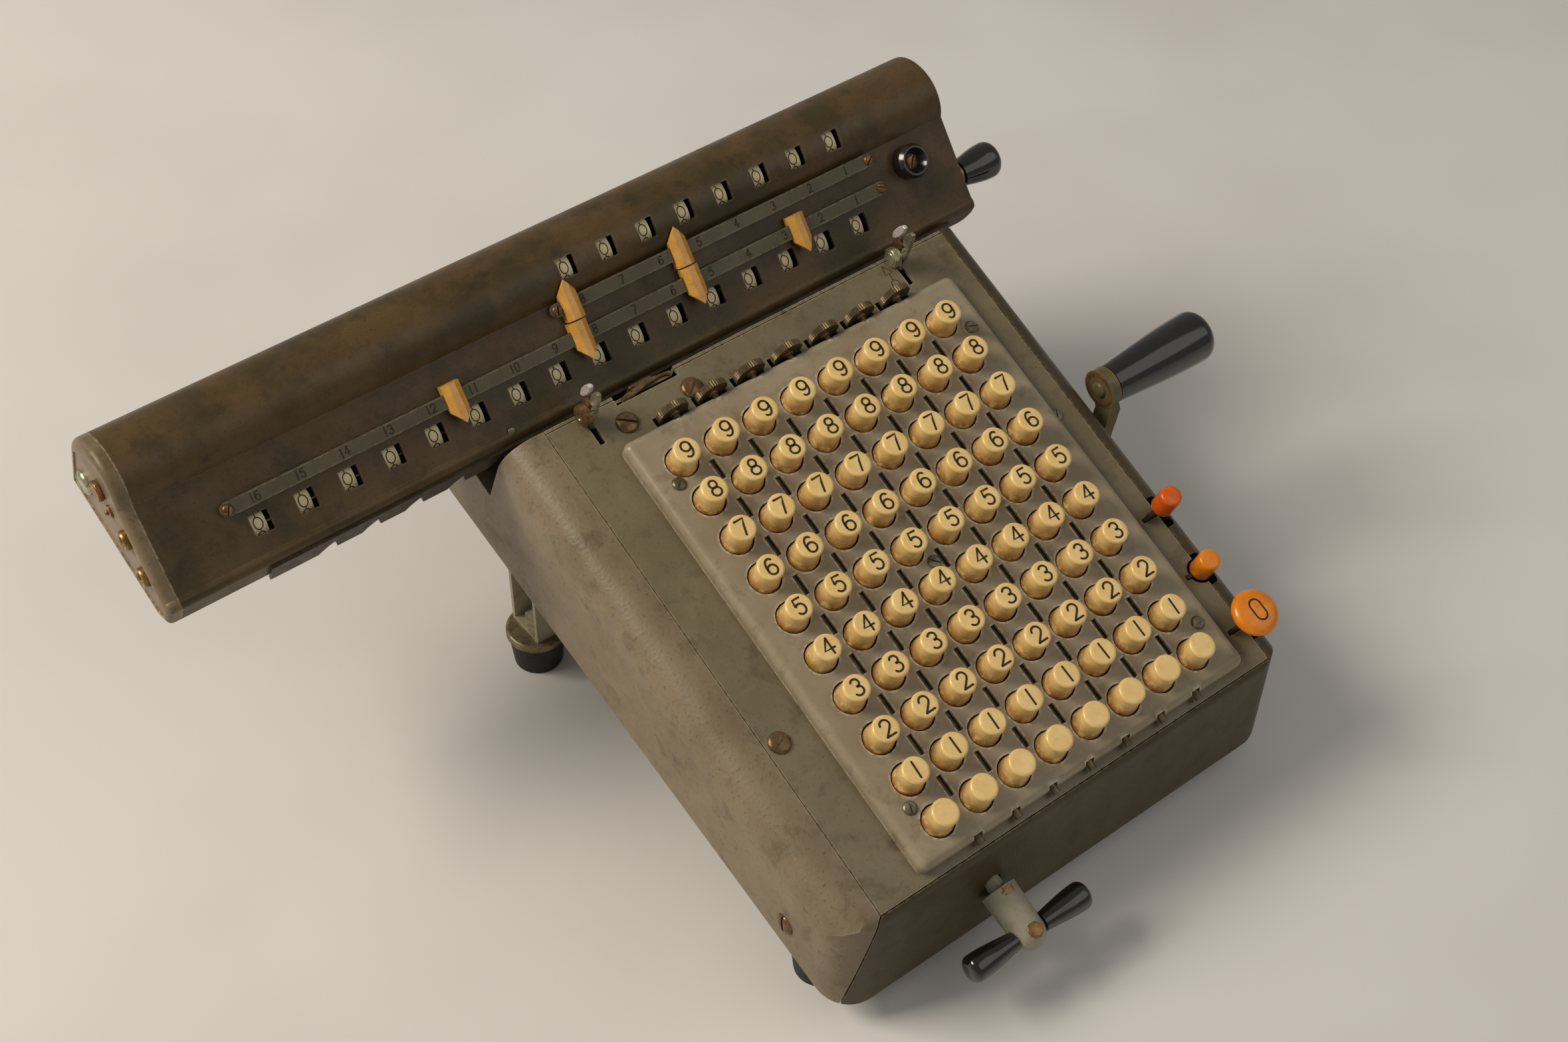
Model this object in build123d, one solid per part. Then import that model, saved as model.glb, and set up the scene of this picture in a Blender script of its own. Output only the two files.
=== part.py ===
from build123d import *
import math
import os

# Hand-cranked calculating machine with a full keyboard and a sliding register carriage.
# Everything is first placed in the keyboard's frame: x to the right along the key rows,
# y to the rear, z square to the keyboard plate, origin at the top of the rear left key.
# The whole machine is then tilted onto its feet, with +Z up. All sizes are millimetres.

# --- keyboard pattern
pitch = 15.875
columns = 8
number_rows = 9
rows = number_rows + 1
slope_deg = 20.9

# --- keys
key_top_radius = 4.7
key_skirt_radius = 5.4
key_edge_round = 0.9
key_height = 8.7
key_skirt_depth = 4.8
key_hole_clearance = 0.45
key_stem_radius = 1.5
key_travel = 3.5
stem_fit = 0.08

# --- keyboard plate (a raised tray) and top cover
sheet = 1.2
tray_rise = 5.6
tray_left_margin = 13.8
tray_right_margin = 15.9
tray_front_margin = 11.1
tray_rear_margin = 15.1
tray_edge_round = 3.0
tray_lip = 5.0

# --- casing
casing_left = -47.6
casing_right = 146.0
left_seam = -31.75
right_seam = 137.7
cover_rear = 33.0
casing_front = -158.75
front_seam_setback = 1.55
casing_rear = 97.0
bottom_front_drop = 39.2
bottom_slope = 0.0974
rear_deck_drop = 31.7
left_round = 11.0
right_round = 9.0
front_round = 5.0
corner_round = 13.0
right_mitre = 0.8
seam_gap = 0.3
side_screw_setback = 18.75
side_screw_z = -45.0

# --- frame inside the casing
frame_sheet = 3.0
frame_gap = 0.5
base_sheet = 2.0
base_inset = 1.0
base_edge_gap = 0.3
frame_top_drop = 10.4
guide_sheet = 1.5
guide_drop = 10.2
tie_radius = 3.0

# --- decimal marker shafts
marker_radius = 1.3
marker_drop = 2.6
marker_shift = 1.1
marker_flat = 0.4
thumbwheel_radius = 5.9
thumbwheel_width = 2.3
thumbwheel_gap = 1.6
thumbwheel_teeth = 40
thumbwheel_tooth = 0.3
marker_front_reach = 2.0
marker_slot_length = 7.7
marker_slot_width = 2.06
wheel_slot_clearance = 0.6

# --- function keys at the right of the keyboard
function_key_x = 137.2
rear_key_y = -95.0
middle_key_y = -119.6
zero_key_y = -143.0
function_key_radius = 4.0
function_key_length = 9.2
rear_key_top = 0.6
middle_key_top = -4.4
zero_key_radius = 8.4
zero_key_top = -0.6
zero_key_thickness = 4.8
function_stem_left = 131.2
function_stem_right = 138.4
function_stem_sheet = 1.2
function_slot_clearance = 0.35
function_notch_half = 6.3
function_notch_reach = 5.0

# --- main crank and gear train
crank_y = -69.0
crank_z = -43.0
crank_throw = 32.4
crank_angle_deg = 43.2
crank_shaft_radius = 4.0
crank_arm_gap = 1.6
crank_joggle = 6.9
crank_joggle_length = 8.0
crank_arm_thickness = 4.0
crank_eye_radius = 7.3
crank_hub_radius = 9.0
crank_web = 8.5
crank_grip_gap = 0.4
crank_grip_length = 46.5
crank_grip_root = 7.2
crank_grip_belly = 9.8
crank_pin_radius = 2.5
crank_pin_share = 0.55
shaft_fit = 0.06
rotor_y = 14.0
rotor_z = -46.0
rotor_radius = 15.0
rotor_disc = 3.0
pin_count = 9
pin_radius = 0.9
gear_teeth = 28
gear_width = 5.0
gear_x = 120.0
inner_frame_x = 115.5
stud_radius = 3.0
gear_side_gap = 0.3

# --- carriage
carriage_left = -160.3
carriage_right = 158.75
carriage_floor = -30.2
carriage_sheet = 1.2
bulge_y = 79.2
bulge_z = -5.1
bulge_front_radius = 13.7
bulge_rear_radius = 17.4
valley_y = 66.2
slope_foot_y = 44.0
slope_foot_z = -14.0
lip_top_y = 39.5
lip_top_z = -16.6
lip_front_y = 36.5
lip_round = 3.2
lip_floor = -26.0
lip_corner = 5.5
lip_undercut = 5.5
carriage_base_sheet = 2.0
carriage_side_gap = 0.2
runner_width = 6.0
runner_drop = 5.5
runner_front_y = 47.0
runner_rear_y = 85.0
runner_gap = 0.3
rail_wall = 2.0
rail_left = -45.0
rail_right = 143.5
end_casting_width = 4.8
end_casting_round = 2.2
end_pocket = 0.5
end_pocket_margin = 2.5
end_head_height = 2.0
right_end_sheet = 2.0
end_bolt_yz = (87.8, -18.2)
end_bolt_radius = 4.4
end_nut_yz = (78.6, -7.1)
end_nut_radius = 3.5
end_pin_yz = (72.2, -10.4)
end_pin_radius = 2.2
dial_nuts_yz = ((62.2, -12.0), (51.0, -17.4))
dial_nut_radius = 3.4
rack_thickness = 1.2
rack_top = -20.2
rack_depth = 7.6
rack_left = -130.2
rack_end_gap = 12.0
rack_tooth_depth = 4.2
rack_tooth_lead = 5.0
rack_tooth_width = 6.8
rack_phase = 3.2

# --- registers
product_places = 16
counter_places = 8
product_window_y = 47.5
counter_window_y = 72.6
window_width = 6.6
window_height = 6.8
dial_radius = 7.6
dial_width = 5.2
dial_depth = 9.4
dial_offset = -0.6
register_shaft_radius = 2.0

# --- scale rails and pointers, in distances up the carriage's front slope
rail_bar_width = 4.6
rail_bar_thickness = 1.6
rail_bar_lift = 0.9
upper_rail_up = 23.6
lower_rail_up = 12.7
upper_rail_left = -11.4
lower_rail_left = -137.6
rails_right = 124.4
rail_screw_radius = 1.7
rail_screw_inset = 2.1
pointer_width = 6.7
pointer_height = 4.4
pointer_foot = 0.3
pointer_eaves = 0.5
pointer_crest = 0.32
pointer_relief_start = 2.3
pointer_relief_rise = 4.1
pointer_fit = 0.12
pointer_tail = 5.2
pointer_shoulder = 4.0
pointer_tip = 8.6
upper_pointer_x = (-4.0, 40.6)
lower_pointer_x = (-53.8, -4.6, 41.0, 86.2)

# --- clearing crank at the right end of the carriage
clearing_y = 68.0
clearing_z = -18.0
clearing_grip_y = 50.0
clearing_grip_z = -17.0
clearing_shaft_radius = 2.5
clearing_arm_thickness = 1.6
clearing_arm_gap = 0.3
clearing_eye_radius = 4.2
clearing_grip_length = 17.0
clearing_grip_root = 5.0
clearing_grip_belly = 6.9

# --- stop button on the carriage
stop_x = 138.5
stop_up = 16.6
stop_radius = 6.2
stop_height = 6.0
stop_rim = 1.6
stop_bowl = 3.2

# --- front shift handle
shift_x = 14.8
shift_z = -34.2
shift_shaft_radius = 3.0
shift_pin_radius = 1.6
shift_stem_root = 6.35
shift_stem_radius = 5.9
shift_stem_gap = 0.6
shift_hub_y = -185.4
shift_grip_length = 19.4
shift_grip_bore_share = 0.65
shift_grip_root = 3.3
shift_grip_belly = 4.9
shift_plate_setback = 9.25
shift_plate_sheet = 2.5
shift_plate_low = -48.0
front_tie_y = -120.0
front_tie_lift = 9.0
rear_tie_y = 60.0
rear_tie_drop = 14.0

# --- feet
foot_left_x = -34.9
foot_right_x = 133.3
rear_foot_y = 0.0
rear_foot_z = -131.8
front_foot_y = -154.0
front_foot_z = -73.0
foot_height = 17.0
foot_cap_radius = 11.0
foot_cap_height = 3.0
foot_pad_top = 10.2
foot_pad_bottom = 8.8
foot_bolt_radius = 2.0
foot_nut_flats = 7.0
foot_nut_height = 3.2
stirrup_half = 8.0
stirrup_width = 9.0
stirrup_sheet = 1.5

# --- screws and guide clips
cover_screw_radius = 3.8
plate_screw_radius = 2.4
screw_head_height = 1.1
screw_slot_width = 0.8
screw_slot_depth = 0.6
screw_shank_length = 3.5
plate_screw_shank = 1.7
clip_left_x = -16.7
clip_right_x = 115.0
clip_front_y = 20.5
clip_z = -9.5
clip_sheet = 1.5
clip_bolt_radius = 3.4
catch_left = -4.8
catch_right = 20.2
catch_sheet = 1.5
catch_top = -12.6

# --- worked out from the sizes above
tray_top = -key_height
front_seam = casing_front + front_seam_setback
side_screw_y = casing_front + side_screw_setback
shift_plate_y = casing_front + shift_plate_setback
crank_arm_x = casing_right + crank_arm_gap
crank_eye_x = crank_arm_x + crank_joggle
cover_top = tray_top - tray_rise
tray_left = -tray_left_margin
tray_right = (columns - 1) * pitch + tray_right_margin
tray_front = -(rows - 1) * pitch - tray_front_margin
tray_rear = tray_rear_margin
rear_deck = cover_top - rear_deck_drop
slope_rad = math.radians(slope_deg)
front_lean = math.tan(slope_rad)
frame_left = casing_left + sheet + frame_gap
frame_right = casing_right - sheet - frame_gap - frame_sheet
frame_top = cover_top - frame_top_drop
guide_top = cover_top - guide_drop
stem_bottom = guide_top - guide_sheet - key_travel
through_cover = (cover_top - 5.0, cover_top + 5.0)
marker_z = tray_top - marker_drop
key_hole_radius = key_skirt_radius + key_hole_clearance
train_length = math.hypot(rotor_y - crank_y, rotor_z - crank_z)
train_angle_deg = math.degrees(math.atan2(rotor_z - crank_z, rotor_y - crank_y))
gear_spacing = train_length / 3
gear_pitch_radius = gear_spacing / 2
function_hole_radius = function_key_radius + 2 * function_slot_clearance
up_y = valley_y - slope_foot_y
bulge_drop = bulge_front_radius**2 - (bulge_y - valley_y) ** 2
valley_z = bulge_z + math.sqrt(bulge_drop)
slope_angle = math.atan2(valley_z - slope_foot_z, up_y)
carriage_base_top = carriage_floor + carriage_base_sheet
crank_grip_y = crank_y + crank_throw * math.cos(math.radians(crank_angle_deg))
crank_grip_z = crank_z + crank_throw * math.sin(math.radians(crank_angle_deg))


# ---------------------------------------------------------------- small helpers
def block(x0, x1, y0, y1, z0, z1):
    """A box between two corners."""
    centre = Pos((x0 + x1) / 2, (y0 + y1) / 2, (z0 + z1) / 2)
    return centre * Box(x1 - x0, y1 - y0, z1 - z0)


def rod_x(x0, x1, y, z, radius):
    """A round bar along x."""
    return Pos((x0 + x1) / 2, y, z) * Rot(0, 90, 0) * Cylinder(radius, x1 - x0)


def rod_y(x, y0, y1, z, radius):
    """A round bar along y."""
    return Pos(x, (y0 + y1) / 2, z) * Rot(90, 0, 0) * Cylinder(radius, y1 - y0)


def rod_z(x, y, z0, z1, radius):
    """A round bar along z."""
    return Pos(x, y, (z0 + z1) / 2) * Cylinder(radius, z1 - z0)


def side_plate(points, x0, x1):
    """A plate across x with the given outline in y and z."""
    outline = Polyline(*[(0, y, z) for y, z in points], close=True)
    return Pos(x0, 0, 0) * extrude(make_face(outline), amount=x1 - x0, dir=(1, 0, 0))


def solids_of(shape):
    """Every separate solid in a shape, as a list."""
    return list(shape.solids())


def turned(points):
    """A body of revolution about z from (radius, z) points joined by straight lines."""
    outline = Polyline(*[(r, 0, z) for r, z in points], close=True)
    return revolve(make_face(outline), Axis.Z)


def grip(root, belly, length):
    """A cone shaped grip that flares to a domed end, its root at z = 0, along +z."""
    belly_z = length - 0.6 * belly
    flare = (belly - root, 0, belly_z)
    swell = Spline((root, 0, 0), (belly, 0, belly_z), tangents=[flare, (0, 0, 1)])
    dome = Spline((belly, 0, belly_z), (0, 0, length), tangents=[(0, 0, 1), (-1, 0, 0)])
    rest = Polyline((0, 0, length), (0, 0, 0), (root, 0, 0))
    return revolve(make_face(swell + dome + rest), Axis.Z)


def slotted_head(radius, turn_deg, length=screw_shank_length):
    """A slotted cheese head standing on z = 0, with its shank below."""
    head = Cylinder(radius, screw_head_height, align=(Align.CENTER, Align.CENTER, Align.MIN))
    head = fillet(head.edges().group_by(Axis.Z)[-1], screw_head_height * 0.5)
    slot_z = screw_head_height - screw_slot_depth / 2
    slot = Pos(0, 0, slot_z) * Box(2.2 * radius, screw_slot_width, screw_slot_depth)
    shank = Pos(0, 0, -length / 2) * Cylinder(radius / 2, length)
    return Rot(0, 0, turn_deg) * (head - slot) + shank


def shank_hole(radius, depth=screw_shank_length):
    """The hole for a slotted screw's shank, below z = 0."""
    return Pos(0, 0, -depth / 2) * Cylinder(radius / 2 + stem_fit, depth + 1.0)


def bottom_z(y, lift=0.0):
    """Height of the casing's sloping bottom edge at y, plus a lift square to the keyboard."""
    return casing_bottom_front()[1] - bottom_slope * (y - casing_bottom_front()[0]) + lift


def casing_bottom_front():
    """The front bottom corner of the casing, in y and z: the front face is upright on the table."""
    drop = bottom_front_drop
    return casing_front - drop * front_lean, cover_top - drop


# ---------------------------------------------------------------- casing
def casing_profile(inset, open_bottom):
    """The casing's side outline, moved in by a wall thickness where asked."""
    front_y, front_z = casing_bottom_front()
    low = -20.0 if open_bottom else 0.0
    top_front = casing_front + inset / math.cos(slope_rad) - inset * front_lean
    foot_y = front_y + inset / math.cos(slope_rad) - low * -front_lean
    rear = casing_rear - inset
    return [
        (top_front, cover_top - inset),
        (foot_y, front_z + low),
        (rear, bottom_z(rear) + low),
        (rear, rear_deck - inset),
        (cover_rear - inset, rear_deck - inset),
        (cover_rear - inset, cover_top - inset),
    ]


def rounded_corner(face, corner, radius):
    """The face with the corner nearest to a point rounded."""
    nearest = face.vertices().sort_by(lambda v: (Vector(v.X, v.Y, v.Z) - Vector(*corner)).length)[0]
    return fillet(nearest, radius)


def casing_side(inset, open_bottom):
    """The casing's side view as a prism across x, its front top edge rounded."""
    outline = casing_profile(inset, open_bottom)
    face = make_face(Polyline(*[(0, y, z) for y, z in outline], close=True))
    face = rounded_corner(face, (0, outline[0][0], outline[0][1]), front_round - inset)
    return Pos(casing_left, 0, 0) * extrude(face, amount=casing_right - casing_left, dir=(1, 0, 0))


def casing_across(inset):
    """The casing's front view as a prism along y, its two long top edges rounded."""
    left = casing_left + inset
    right = casing_right - inset
    top = cover_top - inset
    far = 300.0
    corners = [(left, -far), (right, -far), (right, top), (left, top)]
    face = make_face(Polyline(*[(x, far, z) for x, z in corners], close=True))
    face = rounded_corner(face, (left, far, top), left_round - inset)
    face = rounded_corner(face, (right, far, top), right_round - inset)
    return extrude(face, amount=2 * far, dir=(0, -1, 0))


def casing_plan(inset):
    """The casing's plan as a prism that leans with the front face, its front corners rounded."""
    left = casing_left + inset
    right = casing_right - inset
    front = casing_front + inset / math.cos(slope_rad)
    far = 300.0
    face = make_face(Polyline((left, far), (left, front), (right, front), (right, far), close=True))
    face = rounded_corner(face, (left, front, 0), corner_round - inset)
    face = rounded_corner(face, (right, front, 0), corner_round - inset)
    run = far / math.cos(slope_rad)
    lean = (0, -math.sin(slope_rad), -math.cos(slope_rad))
    start = far / 3
    face = Pos(0, start * front_lean, start + cover_top) * face
    return extrude(face, amount=run, dir=lean)


def casing_block(inset, open_bottom):
    """A solid block with the casing's outer form, or its inner form when inset."""
    return casing_side(inset, open_bottom) & casing_across(inset) & casing_plan(inset)


def casing_shell():
    """The thin casing, hollow and open at the bottom."""
    return casing_block(0.0, False) - casing_block(sheet, True)


def region(x0, x1, y0, y1, z0=-200.0, z1=50.0):
    """A large box that cuts one casing piece out of the whole shell."""
    return block(x0, x1, y0, y1, z0, z1)


def plan_region(points):
    """A tall prism over a plan outline in x and y."""
    outline = Polyline(*[(x, y, -200.0) for x, y in points], close=True)
    return extrude(make_face(outline), amount=300.0, dir=(0, 0, 1))


def casing_pieces():
    """The casing cut along its seams, which run out to the front corners on a slant."""
    shell = casing_shell()
    far = 400.0
    gap = seam_gap / 2
    rear_line = front_seam + gap
    front_line = front_seam - gap
    spread = far * right_mitre
    front_region = [
        (left_seam + gap, front_line),
        (left_seam + gap - far, front_line - far),
        (right_seam - gap + spread, front_line - far),
        (right_seam - gap, front_line),
    ]
    left_region = [
        (left_seam - gap, rear_line),
        (left_seam - gap, far),
        (-far, far),
        (left_seam - gap - far, rear_line - far),
    ]
    right_region = [
        (right_seam + gap, rear_line),
        (right_seam + gap, far),
        (far, far),
        (right_seam + gap + spread, rear_line - far),
    ]
    left = shell & plan_region(left_region)
    front = shell & plan_region(front_region)
    right = shell & plan_region(right_region)
    middle = shell & region(left_seam + gap, right_seam - gap, rear_line, far)
    cover_edge = cover_rear - sheet - gap
    top = middle & region(-far, far, -far, cover_edge, cover_top - sheet - gap, 50.0)
    rear = middle & region(-far, far, cover_edge + 2 * gap, far)
    return left, front, right, top, rear


def left_side_shell(left):
    """Left side of the casing, with the hole for its side screw."""
    return left - side_screw_hole()


def side_screw_hole():
    """The hole for the left side screw, through the shell and the frame."""
    return Pos(casing_left, side_screw_y, side_screw_z) * Rot(0, -90, 0) * shank_hole(cover_screw_radius)


def front_shell(front):
    """Front of the casing, with the hole for the shift shaft."""
    hole = rod_y(shift_x, casing_front - 40.0, casing_front + 10.0, shift_z, shift_shaft_radius + 0.5)
    return front - hole


def right_side_shell(right):
    """Right side of the casing, bored for the crank shaft and notched round the function keys."""
    cuts = [rod_x(casing_right - 10.0, casing_right + 5.0, crank_y, crank_z, crank_shaft_radius + 0.5)]
    reach = function_key_x + function_notch_reach
    for y in function_key_places():
        front = y - function_notch_half
        notch = block(right_seam - 5.0, reach, front, y + function_notch_half, *through_cover)
        cuts.append(fillet(notch.edges().filter_by(Axis.Z), 2.0))
    return right - cuts


def cover_screw_places():
    """Places and head radii of the screws on the cover and the left shell."""
    return [
        (-5.4, 22.5, cover_screw_radius),
        (21.4, 22.9, cover_screw_radius),
        (left_seam + cover_screw_radius + 1.5, -95.0, cover_screw_radius),
        (129.4, -47.3, plate_screw_radius),
    ]


def keyboard_screw_places():
    """Places of the keyboard plate's screws, between the keys."""
    near_left = -0.33 * pitch - 0.2
    near_right = (columns - 1 + 0.57) * pitch
    front_row = -(rows - 1.5) * pitch
    rear_row = -0.4 * pitch
    return [
        (near_left, rear_row),
        (near_right, rear_row),
        (near_left, front_row),
        (near_right, front_row),
        ((columns - 1) / 2 * pitch - 2.3, -4.5 * pitch),
    ]


def marker_places():
    """x of each decimal marker shaft, a little right of midway between two key columns."""
    return [(column + 0.5) * pitch + marker_shift for column in range(columns - 1)]


def rear_edge_openings():
    """Slots for the guide clips and the catch in the cover's rear edge and the step behind it."""
    cuts = []
    half = clip_sheet / 2 + 0.4
    for x in (clip_left_x, clip_right_x):
        cuts.append(block(x - half, x + half, clip_front_y - 0.7, cover_rear + 5.0, *through_cover))
    cuts.append(block(catch_left, catch_right, cover_rear - 3.6, cover_rear + 5.0, *through_cover))
    return cuts


def function_key_slots(low, high):
    """Narrow slots for the flat stems of the three function keys."""
    clear = function_slot_clearance
    half = function_stem_sheet / 2 + clear
    left = function_stem_left - clear
    right = function_stem_right + clear
    return [block(left, right, y - half, y + half, low, high) for y in function_key_places()]


def function_key_places():
    """y of the rear, the middle and the zero key."""
    return [rear_key_y, middle_key_y, zero_key_y]


def top_cover(top):
    """Flat top cover, open under the keyboard plate."""
    lip = tray_lip
    opening = region(tray_left + lip, tray_right - lip, tray_front + lip, tray_rear - lip)
    cover = top - opening
    for x in marker_places():
        half = thumbwheel_radius + wheel_slot_clearance
        y0 = tray_rear + thumbwheel_gap - wheel_slot_clearance
        y1 = tray_rear + thumbwheel_gap + thumbwheel_width + wheel_slot_clearance
        cover -= block(x - half, x + half, y0, y1, *through_cover)
    cover -= rear_edge_openings()
    cover -= function_key_slots(*through_cover)
    cover -= rod_z(function_key_x, middle_key_y, *through_cover, function_hole_radius)
    for x, y, radius in cover_screw_places():
        cover -= Pos(x, y, cover_top) * shank_hole(radius)
    return cover


def keyboard_plate():
    """Raised tray round the keys, pierced for keys, markers and screws."""
    tray = block(tray_left, tray_right, tray_front, tray_rear, cover_top, tray_top)
    tray = fillet(tray.edges().filter_by(Axis.Z), tray_edge_round)
    tray = fillet(tray.faces().sort_by(Axis.Z)[-1].edges(), tray_edge_round)
    front = tray_front + sheet
    rear = tray_rear - sheet
    inner = block(tray_left + sheet, tray_right - sheet, front, rear, cover_top, tray_top - sheet)
    inner = fillet(inner.edges().filter_by(Axis.Z), tray_edge_round - sheet)
    inner = fillet(inner.faces().sort_by(Axis.Z)[-1].edges(), tray_edge_round - sheet)
    tray -= inner
    holes = []
    for column in range(columns):
        for row in range(rows):
            place = Pos(column * pitch, -row * pitch, 0)
            holes.append(extrude(place * Circle(key_hole_radius), amount=tray_top - sheet - 1.0))
    for x in marker_places():
        for row in range(number_rows):
            place = Pos(x, -(row + 0.5) * pitch, 0)
            slot = Rectangle(marker_slot_width, marker_slot_length)
            holes.append(extrude(place * slot, amount=tray_top - sheet - 1.0))
        reach = marker_radius + 0.5
        for y in (tray_front, tray_rear):
            holes.append(block(x - reach, x + reach, y - 5.0, y + 5.0, cover_top - 1.0, marker_z + reach))
    for x, y in keyboard_screw_places():
        holes.append(Pos(x, y, tray_top) * shank_hole(plate_screw_radius))
    return tray - holes


# ---------------------------------------------------------------- frame and base
def base_plate():
    """Sloping floor of the machine, just inside the casing's bottom edge."""
    front_y = casing_bottom_front()[0] + sheet / math.cos(slope_rad) + base_edge_gap
    front_y += (base_inset + base_sheet) * front_lean
    rear_y = casing_rear - sheet - base_edge_gap
    low = base_inset
    high = base_inset + base_sheet
    outline = [
        (front_y, bottom_z(front_y, low)),
        (rear_y, bottom_z(rear_y, low)),
        (rear_y, bottom_z(rear_y, high)),
        (front_y, bottom_z(front_y, high)),
    ]
    inset = sheet + base_edge_gap
    plate = side_plate(outline, casing_left + inset, casing_right - inset)
    return fillet(plate.edges().filter_by(Axis.Z).group_by(Axis.Y)[0], corner_round - sheet)


def frame_outline(front_y, rear_y):
    """Outline of an upright frame plate standing on the base plate."""
    lift = base_inset + base_sheet
    step = cover_rear - sheet - frame_gap
    points = [(front_y, frame_top), (front_y, bottom_z(front_y, lift)), (rear_y, bottom_z(rear_y, lift))]
    if rear_y > step:
        points += [(rear_y, rear_deck - sheet), (step, rear_deck - sheet), (step, frame_top)]
    else:
        points += [(rear_y, frame_top)]
    return points


def gear_centre(index):
    """Centre of one gear of the train, counted from the crank."""
    angle = math.radians(train_angle_deg)
    reach = index * gear_spacing
    return crank_y + reach * math.cos(angle), crank_z + reach * math.sin(angle)


def frame_plates():
    """Left, right and inner frame plates, bored for the shafts."""
    front_y = casing_front + corner_round * 0.7
    rear_y = casing_rear - sheet - 2.0
    left = side_plate(frame_outline(front_y, rear_y), frame_left, frame_left + frame_sheet)
    right = side_plate(frame_outline(front_y, rear_y), frame_right, frame_right + frame_sheet)
    inner_rear = cover_rear - sheet - 1.0
    inner_outline = frame_outline(crank_y - 20.0, inner_rear)
    below_guide = region(-400.0, 400.0, -400.0, 400.0, -200.0, guide_top - guide_sheet)
    inner = side_plate(inner_outline, inner_frame_x, inner_frame_x + frame_sheet) & below_guide
    crank_bore = rod_x(inner_frame_x - 1.0, casing_right, crank_y, crank_z, crank_shaft_radius + shaft_fit)
    rotor_bore = rod_x(frame_left - 1.0, casing_right, rotor_y, rotor_z, crank_shaft_radius + shaft_fit)
    left -= side_screw_hole()
    return [left - rotor_bore, right - crank_bore - rotor_bore, inner - crank_bore - rotor_bore]


def frame_ties():
    """Cross rods, idler studs and the front plate that carries the shift shaft."""
    inner_left = frame_left + frame_sheet
    front_z = bottom_z(front_tie_y, front_tie_lift)
    rods = [rod_x(inner_left, frame_right, front_tie_y, front_z, tie_radius)]
    rods.append(rod_x(inner_left, frame_right, rear_tie_y, rear_deck - rear_tie_drop, tie_radius))
    for index in (1, 2):
        y, z = gear_centre(index)
        rods.append(rod_x(inner_frame_x + frame_sheet, frame_right, y, z, stud_radius))
    rear = shift_plate_y + shift_plate_sheet
    plate = block(inner_left, frame_right, shift_plate_y, rear, shift_plate_low, guide_top - guide_sheet)
    bore = rod_y(shift_x, shift_plate_y - 5.0, shift_plate_y + 8.0, shift_z, shift_shaft_radius + shaft_fit)
    return rods + [plate - bore]


def key_guide_plate():
    """Plate below the keyboard that guides every key stem."""
    inner_left = frame_left + frame_sheet
    front_y = shift_plate_y
    rear_y = cover_rear - sheet - 2.0
    plate = block(inner_left, frame_right, front_y, rear_y, guide_top - guide_sheet, guide_top)
    holes = []
    radius = key_stem_radius + stem_fit
    for column in range(columns):
        for row in range(rows):
            holes.append(rod_z(column * pitch, -row * pitch, guide_top - 5.0, guide_top + 5.0, radius))
    holes += function_key_slots(guide_top - 5.0, guide_top + 5.0)
    return plate - holes


def rear_panel(rear):
    """Step wall, rear deck and back wall of the casing."""
    return rear - rear_edge_openings()


# ---------------------------------------------------------------- keys
def key_blank():
    """One flared key cap with its stem, top face at z = 0."""
    bottom = tray_top - key_skirt_depth
    outline = [
        (0, 0),
        (key_top_radius, 0),
        (key_top_radius, -key_height * 0.45),
        (key_top_radius + 0.15, -key_height * 0.75),
        (key_skirt_radius, tray_top),
        (key_skirt_radius, bottom),
        (key_stem_radius, bottom),
        (key_stem_radius, stem_bottom),
        (0, stem_bottom),
    ]
    body = turned(outline)
    rim = body.edges().filter_by(lambda e: abs(e.center().Z) < 0.01 and e.length > 2 * key_top_radius)
    return fillet(rim, key_edge_round)


def key_column(column, blank):
    """The ten keys of one column, from 9 at the rear to the blank key at the front."""
    return [Pos(column * pitch, -row * pitch, 0) * blank for row in range(rows)]


def function_stem(y, top):
    """Flat steel stem of a function key, up to its cap."""
    half = function_stem_sheet / 2
    return block(function_stem_left, function_stem_right, y - half, y + half, stem_bottom, top)


def function_key(y, top):
    """A round function key on its flat stem."""
    low = top - function_key_length
    cap = rod_z(function_key_x, y, low, top, function_key_radius)
    cap = fillet(cap.edges().group_by(Axis.Z)[-1], 1.2)
    return [cap + function_stem(y, low)]


def zero_key():
    """Large mushroom key on its flat stem."""
    low = zero_key_top - zero_key_thickness
    cap = rod_z(function_key_x, zero_key_y, low, zero_key_top, zero_key_radius)
    cap = fillet(cap.edges().group_by(Axis.Z)[-1], zero_key_thickness * 0.55)
    cap = fillet(cap.edges().group_by(Axis.Z)[0], zero_key_thickness * 0.3)
    neck = rod_z(function_key_x, zero_key_y, low - 2.0, low, function_key_radius)
    return [cap + neck + function_stem(zero_key_y, low)]


# ---------------------------------------------------------------- decimal markers
def toothed_disc(radius, teeth, depth, width):
    """A disc with fine straight knurling, its axis along z, standing on z = 0."""
    points = []
    for index in range(teeth):
        angle = 2 * math.pi * index / teeth
        half = math.pi / teeth
        points.append((radius * math.cos(angle), radius * math.sin(angle)))
        valley = angle + half
        points.append(((radius - depth) * math.cos(valley), (radius - depth) * math.sin(valley)))
    return extrude(make_face(Polyline(*points, close=True)), amount=width)


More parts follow.
